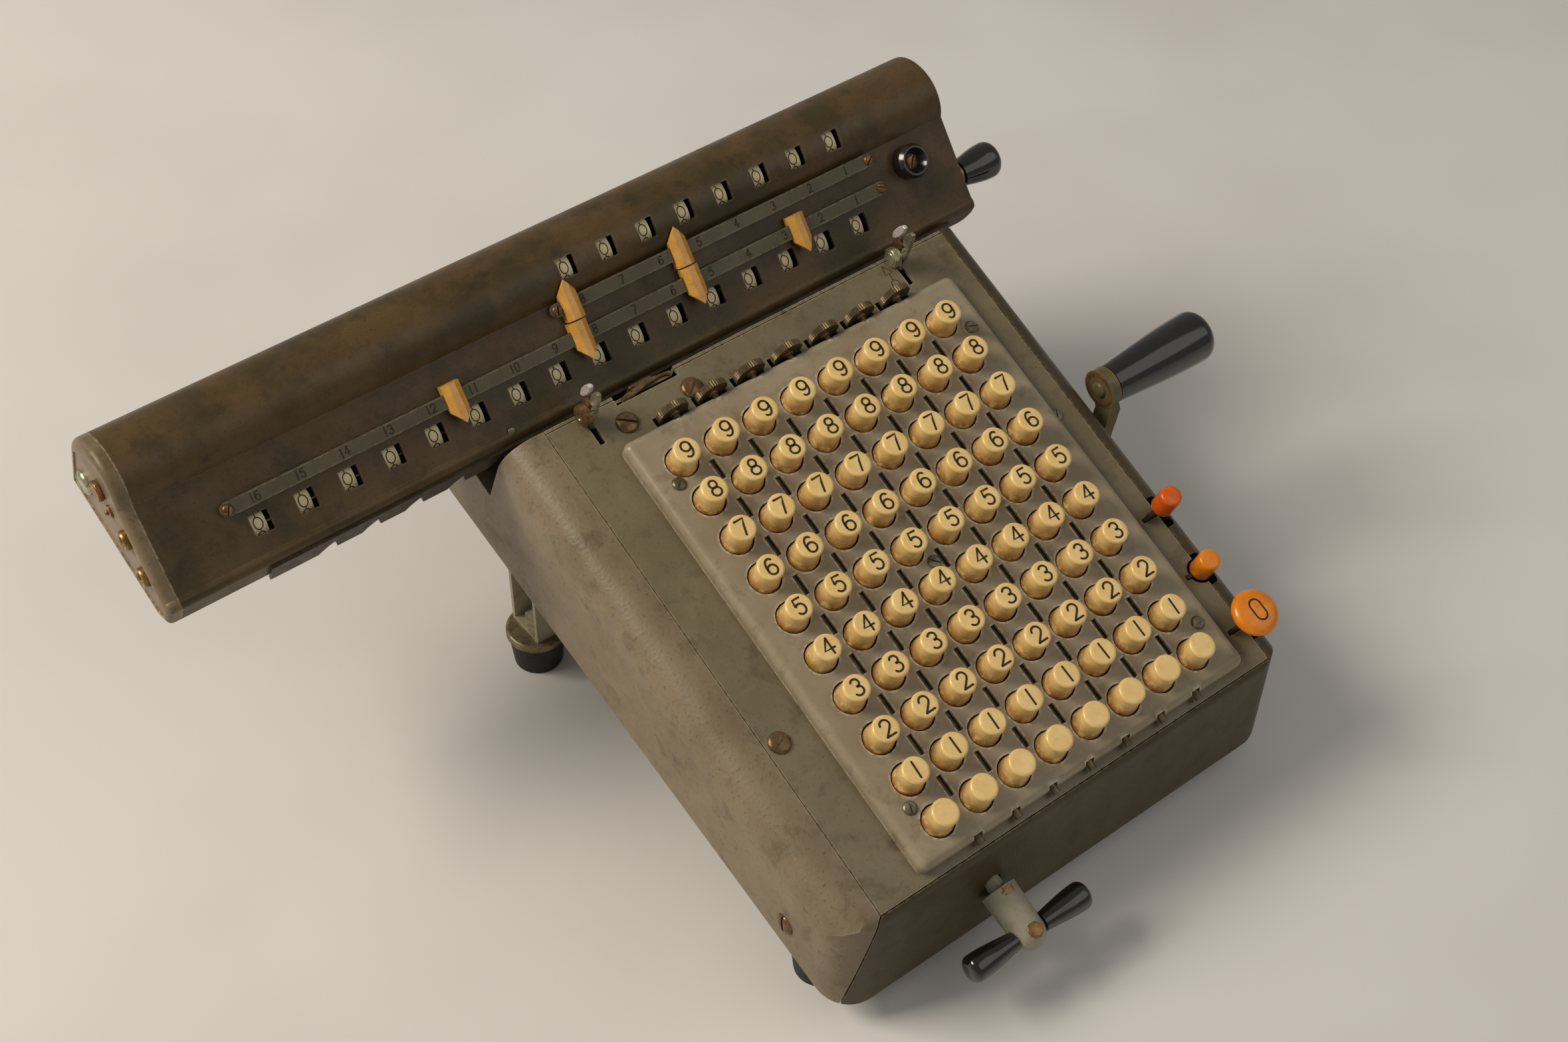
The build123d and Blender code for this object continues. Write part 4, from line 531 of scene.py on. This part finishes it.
def figures(work, text, height, width, matrix, bend=None, narrow=1.0):
    """Writes figures with strokes of a width, centred on the place."""
    start = -(len(text) - 1) / 2 * FIGURE_SPACING * height * narrow
    for index, sign in enumerate(text):
        shift = start + index * FIGURE_SPACING * height * narrow
        for points in FIGURES[sign]:
            sized = [(x * height * narrow + shift, y * height) for x, y in points]
            stroke(work, sized, width, matrix, bend)


def slotted_screw(work, radius, height, matrix, slot=0, cut=0.9, crown=0.82):
    """A domed screw head with a cut slot along x, standing on z = 0."""
    dome = [(0, height), (radius * 0.45, height * 0.97), (radius * 0.75, height * crown)]
    dome += [(radius * 0.93, height * 0.52), (radius, height * 0.16), (radius, 0.0), (0, 0)]
    half = cut / 2000
    for side in (1, -1):
        part = bmesh.new()
        lathe(part, dome, steps=48)
        geometry = part.verts[:] + part.edges[:] + part.faces[:]
        edge = Vector((0, side * half, 0))
        cutting = bmesh.ops.bisect_plane(
            part, geom=geometry, plane_co=edge, plane_no=(0, -side, 0), clear_outer=True
        )
        rim = [item for item in cutting["geom_cut"] if isinstance(item, bmesh.types.BMEdge)]
        bmesh.ops.holes_fill(part, edges=rim)
        merge(work, part, matrix, slot)
    floor = height * 0.3
    lathe(work, [(0, floor), (radius * 0.96, floor), (radius * 0.96, 0), (0, 0)], matrix, 32, slot)


def dome(work, radius, height, matrix, slot=0, lip=0.25):
    """A rivet head, round on top with a short upright rim, standing on z = 0."""
    angles = [math.radians(90 - 90 * index / 8) for index in range(9)]
    rise = height - lip
    profile = [(radius * math.cos(a), lip + rise * math.sin(a)) for a in angles]
    lathe(work, profile + [(radius, 0), (0, 0)], matrix, 40, slot)


# ------------------------------------------------------------------ keys
KEY_PROFILE = [
    (0, -0.05), (2.4, -0.04), (3.5, 0.0), (3.95, -0.04), (4.3, -0.16), (4.55, -0.4),
    (4.68, -0.75), (4.7, -1.1), (4.62, -2.4), (4.64, -3.8), (4.72, -5.2), (4.88, -6.6),
    (5.08, -7.6), (5.28, -8.5), (5.38, -9.4), (5.4, -10.4), (5.4, -13.3), (1.5, -13.3),
    (1.5, STEM_BOTTOM), (0, STEM_BOTTOM),
]


def key_column(column):
    """Ten flared caps with engraved figures, 9 at the rear to the plain key at the front."""
    body = f"key_column_{column + 1}"
    caps = bmesh.new()
    signs = bmesh.new()
    for row in range(ROWS):
        place = at(column * PITCH, -row * PITCH, 0, turned(dice.uniform(-2.5, 2.5), "Z"))
        lathe(caps, KEY_PROFILE, place, 56)
        if row < ROWS - 1:
            figures(signs, str(ROWS - 1 - row), 5.7, 0.72, place, narrow=0.98)
    stands_for(as_object(f"{body}_caps", caps, body, key_cream, 50), body)
    as_object(f"{body}_figures", signs, body, figure_black)


for number in range(COLUMNS):
    key_column(number)


def flat_stem(work, y, top):
    """The flat steel stem of a function key, near-black as painted shade of the slot under the
    cap.
    """
    left, right, half = FUNCTION_STEM
    outline = [(left, y - half), (right, y - half), (right, y + half), (left, y + half)]
    slab(work, outline, STEM_BOTTOM, top, at(), 0.15, 1)


def function_key(name, y, top, finish):
    """A round cap with a soft edge on its flat stem."""
    work = bmesh.new()
    cap = [(0, 0.0), (2.0, -0.02), (2.9, -0.1), (3.5, -0.35), (3.85, -0.8), (4.0, -1.4)]
    cap += [(3.96, -3.0), (3.96, -7.0), (3.98, -9.2), (0, -9.2)]
    lathe(work, cap, at(FUNCTION_X, y, top), 56)
    flat_stem(work, y, top - 9.0)
    piece = as_object(f"{name}_cap", work, name, [finish, rack_steel], 50)
    stands_for(piece, name)


def zero_key():
    """The large mushroom key with an engraved zero."""
    y, top = ZERO_KEY
    work = bmesh.new()
    cap = [(0, 0.0), (3.4, -0.04), (5.4, -0.2), (6.8, -0.6), (7.8, -1.3), (8.3, -2.2), (8.4, -3.0)]
    cap += [(8.2, -3.8), (7.6, -4.5), (6.6, -4.8), (4.0, -4.8), (4.0, -6.8), (0, -6.8)]
    lathe(work, cap, at(FUNCTION_X, y, top), 72)
    flat_stem(work, y, top - 6.6)
    body = "zero_function_key"
    piece = as_object(f"{body}_cap", work, body, [amber_orange, rack_steel], 50)
    stands_for(piece, body)
    sign = bmesh.new()
    ring = arc(0, 1.8, 2.1, 2.1, 0, 180, 16) + arc(0, -1.8, 2.1, 2.1, 180, 360, 16) + [(2.1, 1.8)]
    stroke(sign, ring, 0.62, at(FUNCTION_X, y, top))
    as_object(f"{body}_figure", sign, body, figure_black)


function_key("rear_function_key", *REAR_KEY, bright_orange)
function_key("middle_function_key", *MIDDLE_KEY, amber_orange)
zero_key()


# ------------------------------------------------------------------ screws of the casing
def casing_screws():
    """Domed screws on the cover and the left shell, flat ones on the keyboard plate."""
    work = bmesh.new()
    for x, y, turn in REAR_COVER_SCREWS:
        slotted_screw(work, 4.0, 1.6, at(x, y, COVER_TOP, turned(turn, "Z")))
    x, y, turn = SIDE_COVER_SCREW
    slotted_screw(work, 3.9, 1.3, at(x, y, COVER_TOP, turned(turn, "Z")))
    x, y, turn = STRIP_SCREW
    slotted_screw(work, 2.5, 0.7, at(x, y, COVER_TOP, turned(turn, "Z")), 1, 0.6, 0.95)
    for x, y, turn in TRAY_SCREWS:
        slotted_screw(work, 2.5, 0.8, at(x, y, TRAY_TOP, turned(turn, "Z")), 1, 0.6, 0.95)
    y, z, turn = SHELL_SCREW
    side = at(CASING_LEFT, y, z, turned(-90, "Y") @ turned(turn, "Z"))
    slotted_screw(work, 3.9, 1.3, side)
    piece = as_object("casing_screw_heads", work, "casing", [brown_steel, grey_steel])
    stands_for(piece, "casing_screws")


casing_screws()


# ------------------------------------------------------------------ guide clips and catch
# the clips' outlines in y and z: the tab, the forked lever and the claw under it
TAB = ((35.7, -4.0), (35.9, -2.1), (34.9, 2.1), (33.6, 4.3), (32.2, 4.8), (31.7, 2.6))
TAB += ((32.5, -0.9), (33.6, -3.7), (35.1, -5.1))
LEVER = ((31.0, -1.0), (31.1, 1.9), (29.8, 5.1), (28.1, 5.8), (27.3, 3.2), (26.9, -2.1))
LEVER += ((26.5, -8.5), (25.9, -14.1), (26.8, -15.0), (29.2, -14.5), (28.7, -12.3))
LEVER += ((27.6, -9.6), (27.8, -5.4), (28.2, -2.6), (30.0, -2.9))
CLAW = ((33.6, -3.7), (32.9, -4.6), (31.0, -4.6), (30.2, -6.2), (30.1, -9.2), (29.5, -16.5))
CLAW += ((31.5, -16.5), (33.4, -9.0), (34.6, -6.0))
# the left clip's bolt as radius and height, and the catch's bar from above
CLIP_BOLT = ((0, 2.4), (1.2, 2.4), (1.5, 2.9), (3.0, 2.9), (3.7, 2.5), (3.9, 1.7), (3.9, 0))
CLIP_BOLT += ((0, 0),)
CATCH_BAR = ((-2.5, 29.6), (3.0, 30.3), (10.0, 31.6), (16.0, 31.8), (18.8, 30.9), (18.8, 32.6))
CATCH_BAR += ((9.0, 33.6), (-1.5, 31.6))


def guide_clips():
    """Two forked levers with their polished tabs and pivot screws, and the catch between them."""
    work = bmesh.new()
    for index, x in enumerate(CLIPS):
        across = at(x) @ SIDEWAYS
        slab(work, LEVER, -0.75, 0.75, across, 0.25, 1)
        slab(work, CLAW, -0.5, 0.9, across, 0.2, 0)
        slab(work, TAB, -0.9, 0.7, across, 0.3, 2)
        head = at(x - 0.7, 30.2, -10.0, turned(-90, "Y"))
        if index:
            slab(work, polygon_outline(3.9, 6, 15), 0.0, 3.0, head, 0.4, 3)
            lathe(work, [(0, 3.3), (2.2, 3.3), (2.4, 3.0), (0, 3.0)], head, 32, 3)
        else:
            lathe(work, CLIP_BOLT, head, 48, 0)
    slab(work, CATCH_BAR, -16.6, -14.9, at(), 0.3, 0)
    left, right = CATCH
    wall = ((left + 8, 33.2), (right - 8, 33.2), (right - 8, 34.4), (left + 8, 34.4))
    slab(work, wall, -30.0, -16.0, at(), 0.2, 0)
    finishes = [brown_steel, bright_steel, polished_tab, nickel_screw]
    piece = as_object("clips_and_catch_plates", work, "casing", finishes)
    stands_for(piece, "clips_and_catch")


guide_clips()


def direction_mark():
    """A thin arrow that is cut in the cover beside the right guide clip."""
    work = bmesh.new()
    top = at(0, 0, COVER_TOP)
    stroke(work, [(109.3, 30.6), (108.3, 27.0), (111.6, 27.0), (109.3, 30.6)], 0.3, top)
    bend = [(109.9, 27.1), (109.7, 24.2), (108.6, 23.8), (108.2, 22.9), (108.3, 21.1)]
    stroke(work, bend, 0.3, top)
    stroke(work, [(109.7, 24.2), (111.0, 23.5), (111.3, 21.6)], 0.3, top)
    as_object("direction_mark", work, "casing", stamped_figure)


direction_mark()


# ------------------------------------------------------------------ carriage
def carriage_screws():
    """Screws of the rails and of the stop button, and the fasteners of the end casting."""
    work = bmesh.new()
    for index, (x, up) in enumerate(RAIL_SCREWS):
        place = on_slope(x, up, RAIL_TOP) @ turned((75, 40, 60, -35)[index], "Z")
        slotted_screw(work, 1.9, 1.2, place, 0, 0.55)
    slotted_screw(work, 2.4, 0.9, on_slope(*STOP, STOP_FLOOR) @ turned(55, "Z"), 0, 0.7)

    def outward(y, z, turn=0.0):
        """A place on the end casting's sunk face, looking out of it."""
        return at(END_FACE_X, y, z, turned(-90, "Y") @ turned(turn, "Z"))

    slotted_screw(work, 4.4, END_HEAD, outward(*END_SCREW, 60), 1, 1.0)
    slab(work, polygon_outline(3.7, 6, 10), 0.0, 1.8, outward(*END_NUT), 0.35, 2)
    dome(work, 1.5, END_HEAD, outward(*END_NUT), 2)
    dome(work, 2.2, 1.0, outward(*END_PIN), 2, 0.6)
    dome(work, 0.9, END_HEAD, outward(*END_PIN), 2, 1.2)
    ring = [(1.5, 0.9), (1.7, 1.7), (2.2, END_HEAD), (3.0, 1.9), (3.3, 1.5), (3.4, 0.9)]
    ring += [(3.4, 0), (1.5, 0), ring[0]]
    for y, z in DIAL_NUTS:
        lathe(work, ring, outward(y, z), 48, 3)
        lathe(work, [(0, 1.2), (1.45, 1.2), (1.45, 0), (0, 0)], outward(y, z), 24, 2)
    finishes = [brown_steel, nickel_screw, copper_rivet, brass_nut]
    piece = as_object("carriage_screw_heads", work, "carriage", finishes)
    stands_for(piece, "carriage_screws")


carriage_screws()


def rail_figures():
    """Place numbers stamped along the two scale rails."""
    work = bmesh.new()
    for count, up in ((COLUMNS, UPPER_RAIL_UP), (2 * COLUMNS, LOWER_RAIL_UP)):
        for number in range(1, count + 1):
            x = (COLUMNS - number) * PITCH + 0.8
            figures(work, str(number), 2.9, 0.42, on_slope(x, up + 0.1, RAIL_TOP), narrow=0.85)
    as_object("rail_figures", work, "carriage", stamped_figure)


rail_figures()


def lip_rivet():
    """A small rivet on the carriage's front lip."""
    work = bmesh.new()
    dome(work, 1.6, 0.9, at(*LIP_RIVET, turned(40, "X")))
    as_object("lip_rivet", work, "carriage", grey_steel)


lip_rivet()


def dial_figures(name, axis, places):
    """Ten figures round each drum, with a small dot between each two, zero in the window."""
    y, z, lean = axis
    work = bmesh.new()
    for place in places:
        for digit in range(10):
            drum = at(place * PITCH + DRUM_SHIFT, y, z, turned(lean - 36 * digit, "X"))
            wide = 1.2 if digit == 0 else 1.0
            figures(work, str(digit), 3.9, 0.36, drum, DRUM_RADIUS, wide)
            spot = drum @ turned(-18, "X")
            stroke(work, [(-0.05, 0.0), (0.05, 0.0)], 0.4, spot, DRUM_RADIUS)
    as_object(f"{name}_figures", work, name, figure_black)


dial_figures("product_dials", PRODUCT_AXIS, range(-COLUMNS, COLUMNS))
dial_figures("counter_dials", COUNTER_AXIS, range(COLUMNS))


def crank_rivet():
    """The riveted end of the grip's pin on the crank's inner face, with a rubbed copper rim."""
    work = bmesh.new()
    inward = at(*CRANK_EYE, turned(-90, "Y"))
    dome(work, 3.0, 1.5, inward, 0)
    lathe(work, [(5.2, 0.12), (6.4, 0.12), (6.5, -0.1), (5.1, -0.1), (5.2, 0.12)], inward, 64, 1)
    as_object("crank_rivet", work, "main_crank", [crank_paint, copper_rivet])


crank_rivet()


def handle_fasteners():
    """The copper screw on the turning stem and the rivet on its domed end."""
    x, y, z = SHIFT_HUB
    work = bmesh.new()
    screw = at(x, SHIFT_SCREW_Y, z + SHIFT_RADIUS - 0.25, turned(25, "Z"))
    slotted_screw(work, 2.4, 0.7, screw, 0, 0.7)
    dome(work, 2.7, 0.7, at(x, y - 1.0, z + SHIFT_RADIUS - 0.35), 0)
    as_object("handle_fasteners", work, "shift_handle", copper_rivet)


handle_fasteners()


def wheel_hubs():
    """The small turned hub in front of each marker's thumbwheel."""
    for index in range(COLUMNS - 1):
        work = bmesh.new()
        x = (index + 0.5) * PITCH + MARKER_SHIFT
        dome(work, 1.9, 0.8, at(x, TRAY_REAR + WHEEL_GAP, MARKER_Z, turned(90, "X")), 0, 0.5)
        body = f"decimal_marker_{index + 1}"
        as_object(f"{body}_hub", work, body, copper_rivet)


wheel_hubs()


# ------------------------------------------------------------------ finishes of the CAD pieces
FINISHES = {
    cover_enamel: ["top_cover", "rear_panel"],
    side_enamel: ["left_side_shell", "base_plate"],
    front_painted_shade_enamel: ["front_shell", "right_side_shell"],
    tray_enamel: ["keyboard_plate"],
    carriage_enamel: ["carriage_cover", "carriage_right_end", "carriage_base"],
    casting_enamel: ["carriage_left_end"],
    handle_paint: ["shift_handle"],
    stirrup_paint: ["foot_stirrups"],
    crank_paint: ["main_crank"],
    works_steel: [
        "frame_plates",
        "frame_ties",
        "key_guide_plate",
        "pinwheel_rotor",
        "idler_gear_1",
        "idler_gear_2",
    ],
    grey_steel: ["carriage_rails", "register_shafts", "clearing_crank"],
    rack_steel: ["carriage_rack"],
    rail_paint: ["scale_rails"],
    spun_cap: ["foot_caps"],
    foot_rubber: ["rubber_feet"],
    black_grip: ["main_crank_grip", "clearing_grip", "shift_grips"],
    black_collar: ["stop_button"],
    dial_white: ["product_dials", "counter_dials"],
    marker_steel: [f"decimal_marker_{index + 1}" for index in range(COLUMNS - 1)],
    pointer_cream: [
        "upper_pointer_1",
        "upper_pointer_2",
        *(f"lower_pointer_{index + 1}" for index in range(4)),
    ],
}
for material, names in FINISHES.items():
    for name in names:
        nodes[name].data.materials.clear()
        nodes[name].data.materials.append(material)


# ------------------------------------------------------------------ studio
def softbox(name, place, size, power, tint):
    """A square area lamp that looks at the machine."""
    lamp = bpy.data.lights.new(name, "AREA")
    lamp.size = size
    lamp.energy = power
    lamp.color = colour(tint)[:3]
    item = bpy.data.objects.new(name, lamp)
    item.location = place
    aim = Vector((-0.02, 0.0, 0.08)) - Vector(place)
    item.rotation_euler = aim.to_track_quat("-Z", "Y").to_euler()
    bpy.context.scene.collection.objects.link(item)


def studio():
    """Pale floor, a large soft light from the rear left, a weak fill and the camera."""
    material, tree, shader, place = new_finish("pale_paper")
    tone = stained(tree, place, colour("#d5d2cf"), colour("#dcdad7"), 300.0, 0.4, 1.0, 3.0)
    tree.links.new(tone, shader.inputs["Base Color"])
    shader.inputs["Roughness"].default_value = 0.9
    relief(tree, shader, place, 1.5, 0.02)
    work = bmesh.new()
    bmesh.ops.create_grid(work, x_segments=1, y_segments=1, size=6.0)
    mesh = bpy.data.meshes.new("paper_floor")
    work.to_mesh(mesh)
    work.free()
    floor = bpy.data.objects.new("paper_floor", mesh)
    bpy.context.scene.collection.objects.link(floor)
    mesh.materials.append(material)
    floor.location.z = -0.0002

    softbox("window_light", (-1.2, 0.7, 1.4), 0.8, 30.0, "#fff4e4")
    softbox("room_light", (0.9, -1.2, 1.6), 1.6, 6.0, "#f6f2ea")
    world = bpy.data.worlds.new("room")
    world.use_nodes = True
    bpy.context.scene.world = world
    back = world.node_tree.nodes["Background"]
    back.inputs["Color"].default_value = colour("#f3f0ea")
    back.inputs["Strength"].default_value = 0.28

    lens = bpy.data.cameras.new("photo_camera")
    lens.sensor_width = 36.0
    lens.lens = 53.744
    lens.clip_start = 0.05
    item = bpy.data.objects.new("photo_camera", lens)
    item.location = (-0.3281754, -0.4097298, 0.659935)
    item.rotation_euler = [math.radians(angle) for angle in (43.0032, -0.8977, -37.9067)]
    bpy.context.scene.collection.objects.link(item)
    bpy.context.scene.camera = item
    bpy.context.scene.view_settings.view_transform = "Standard"


studio()
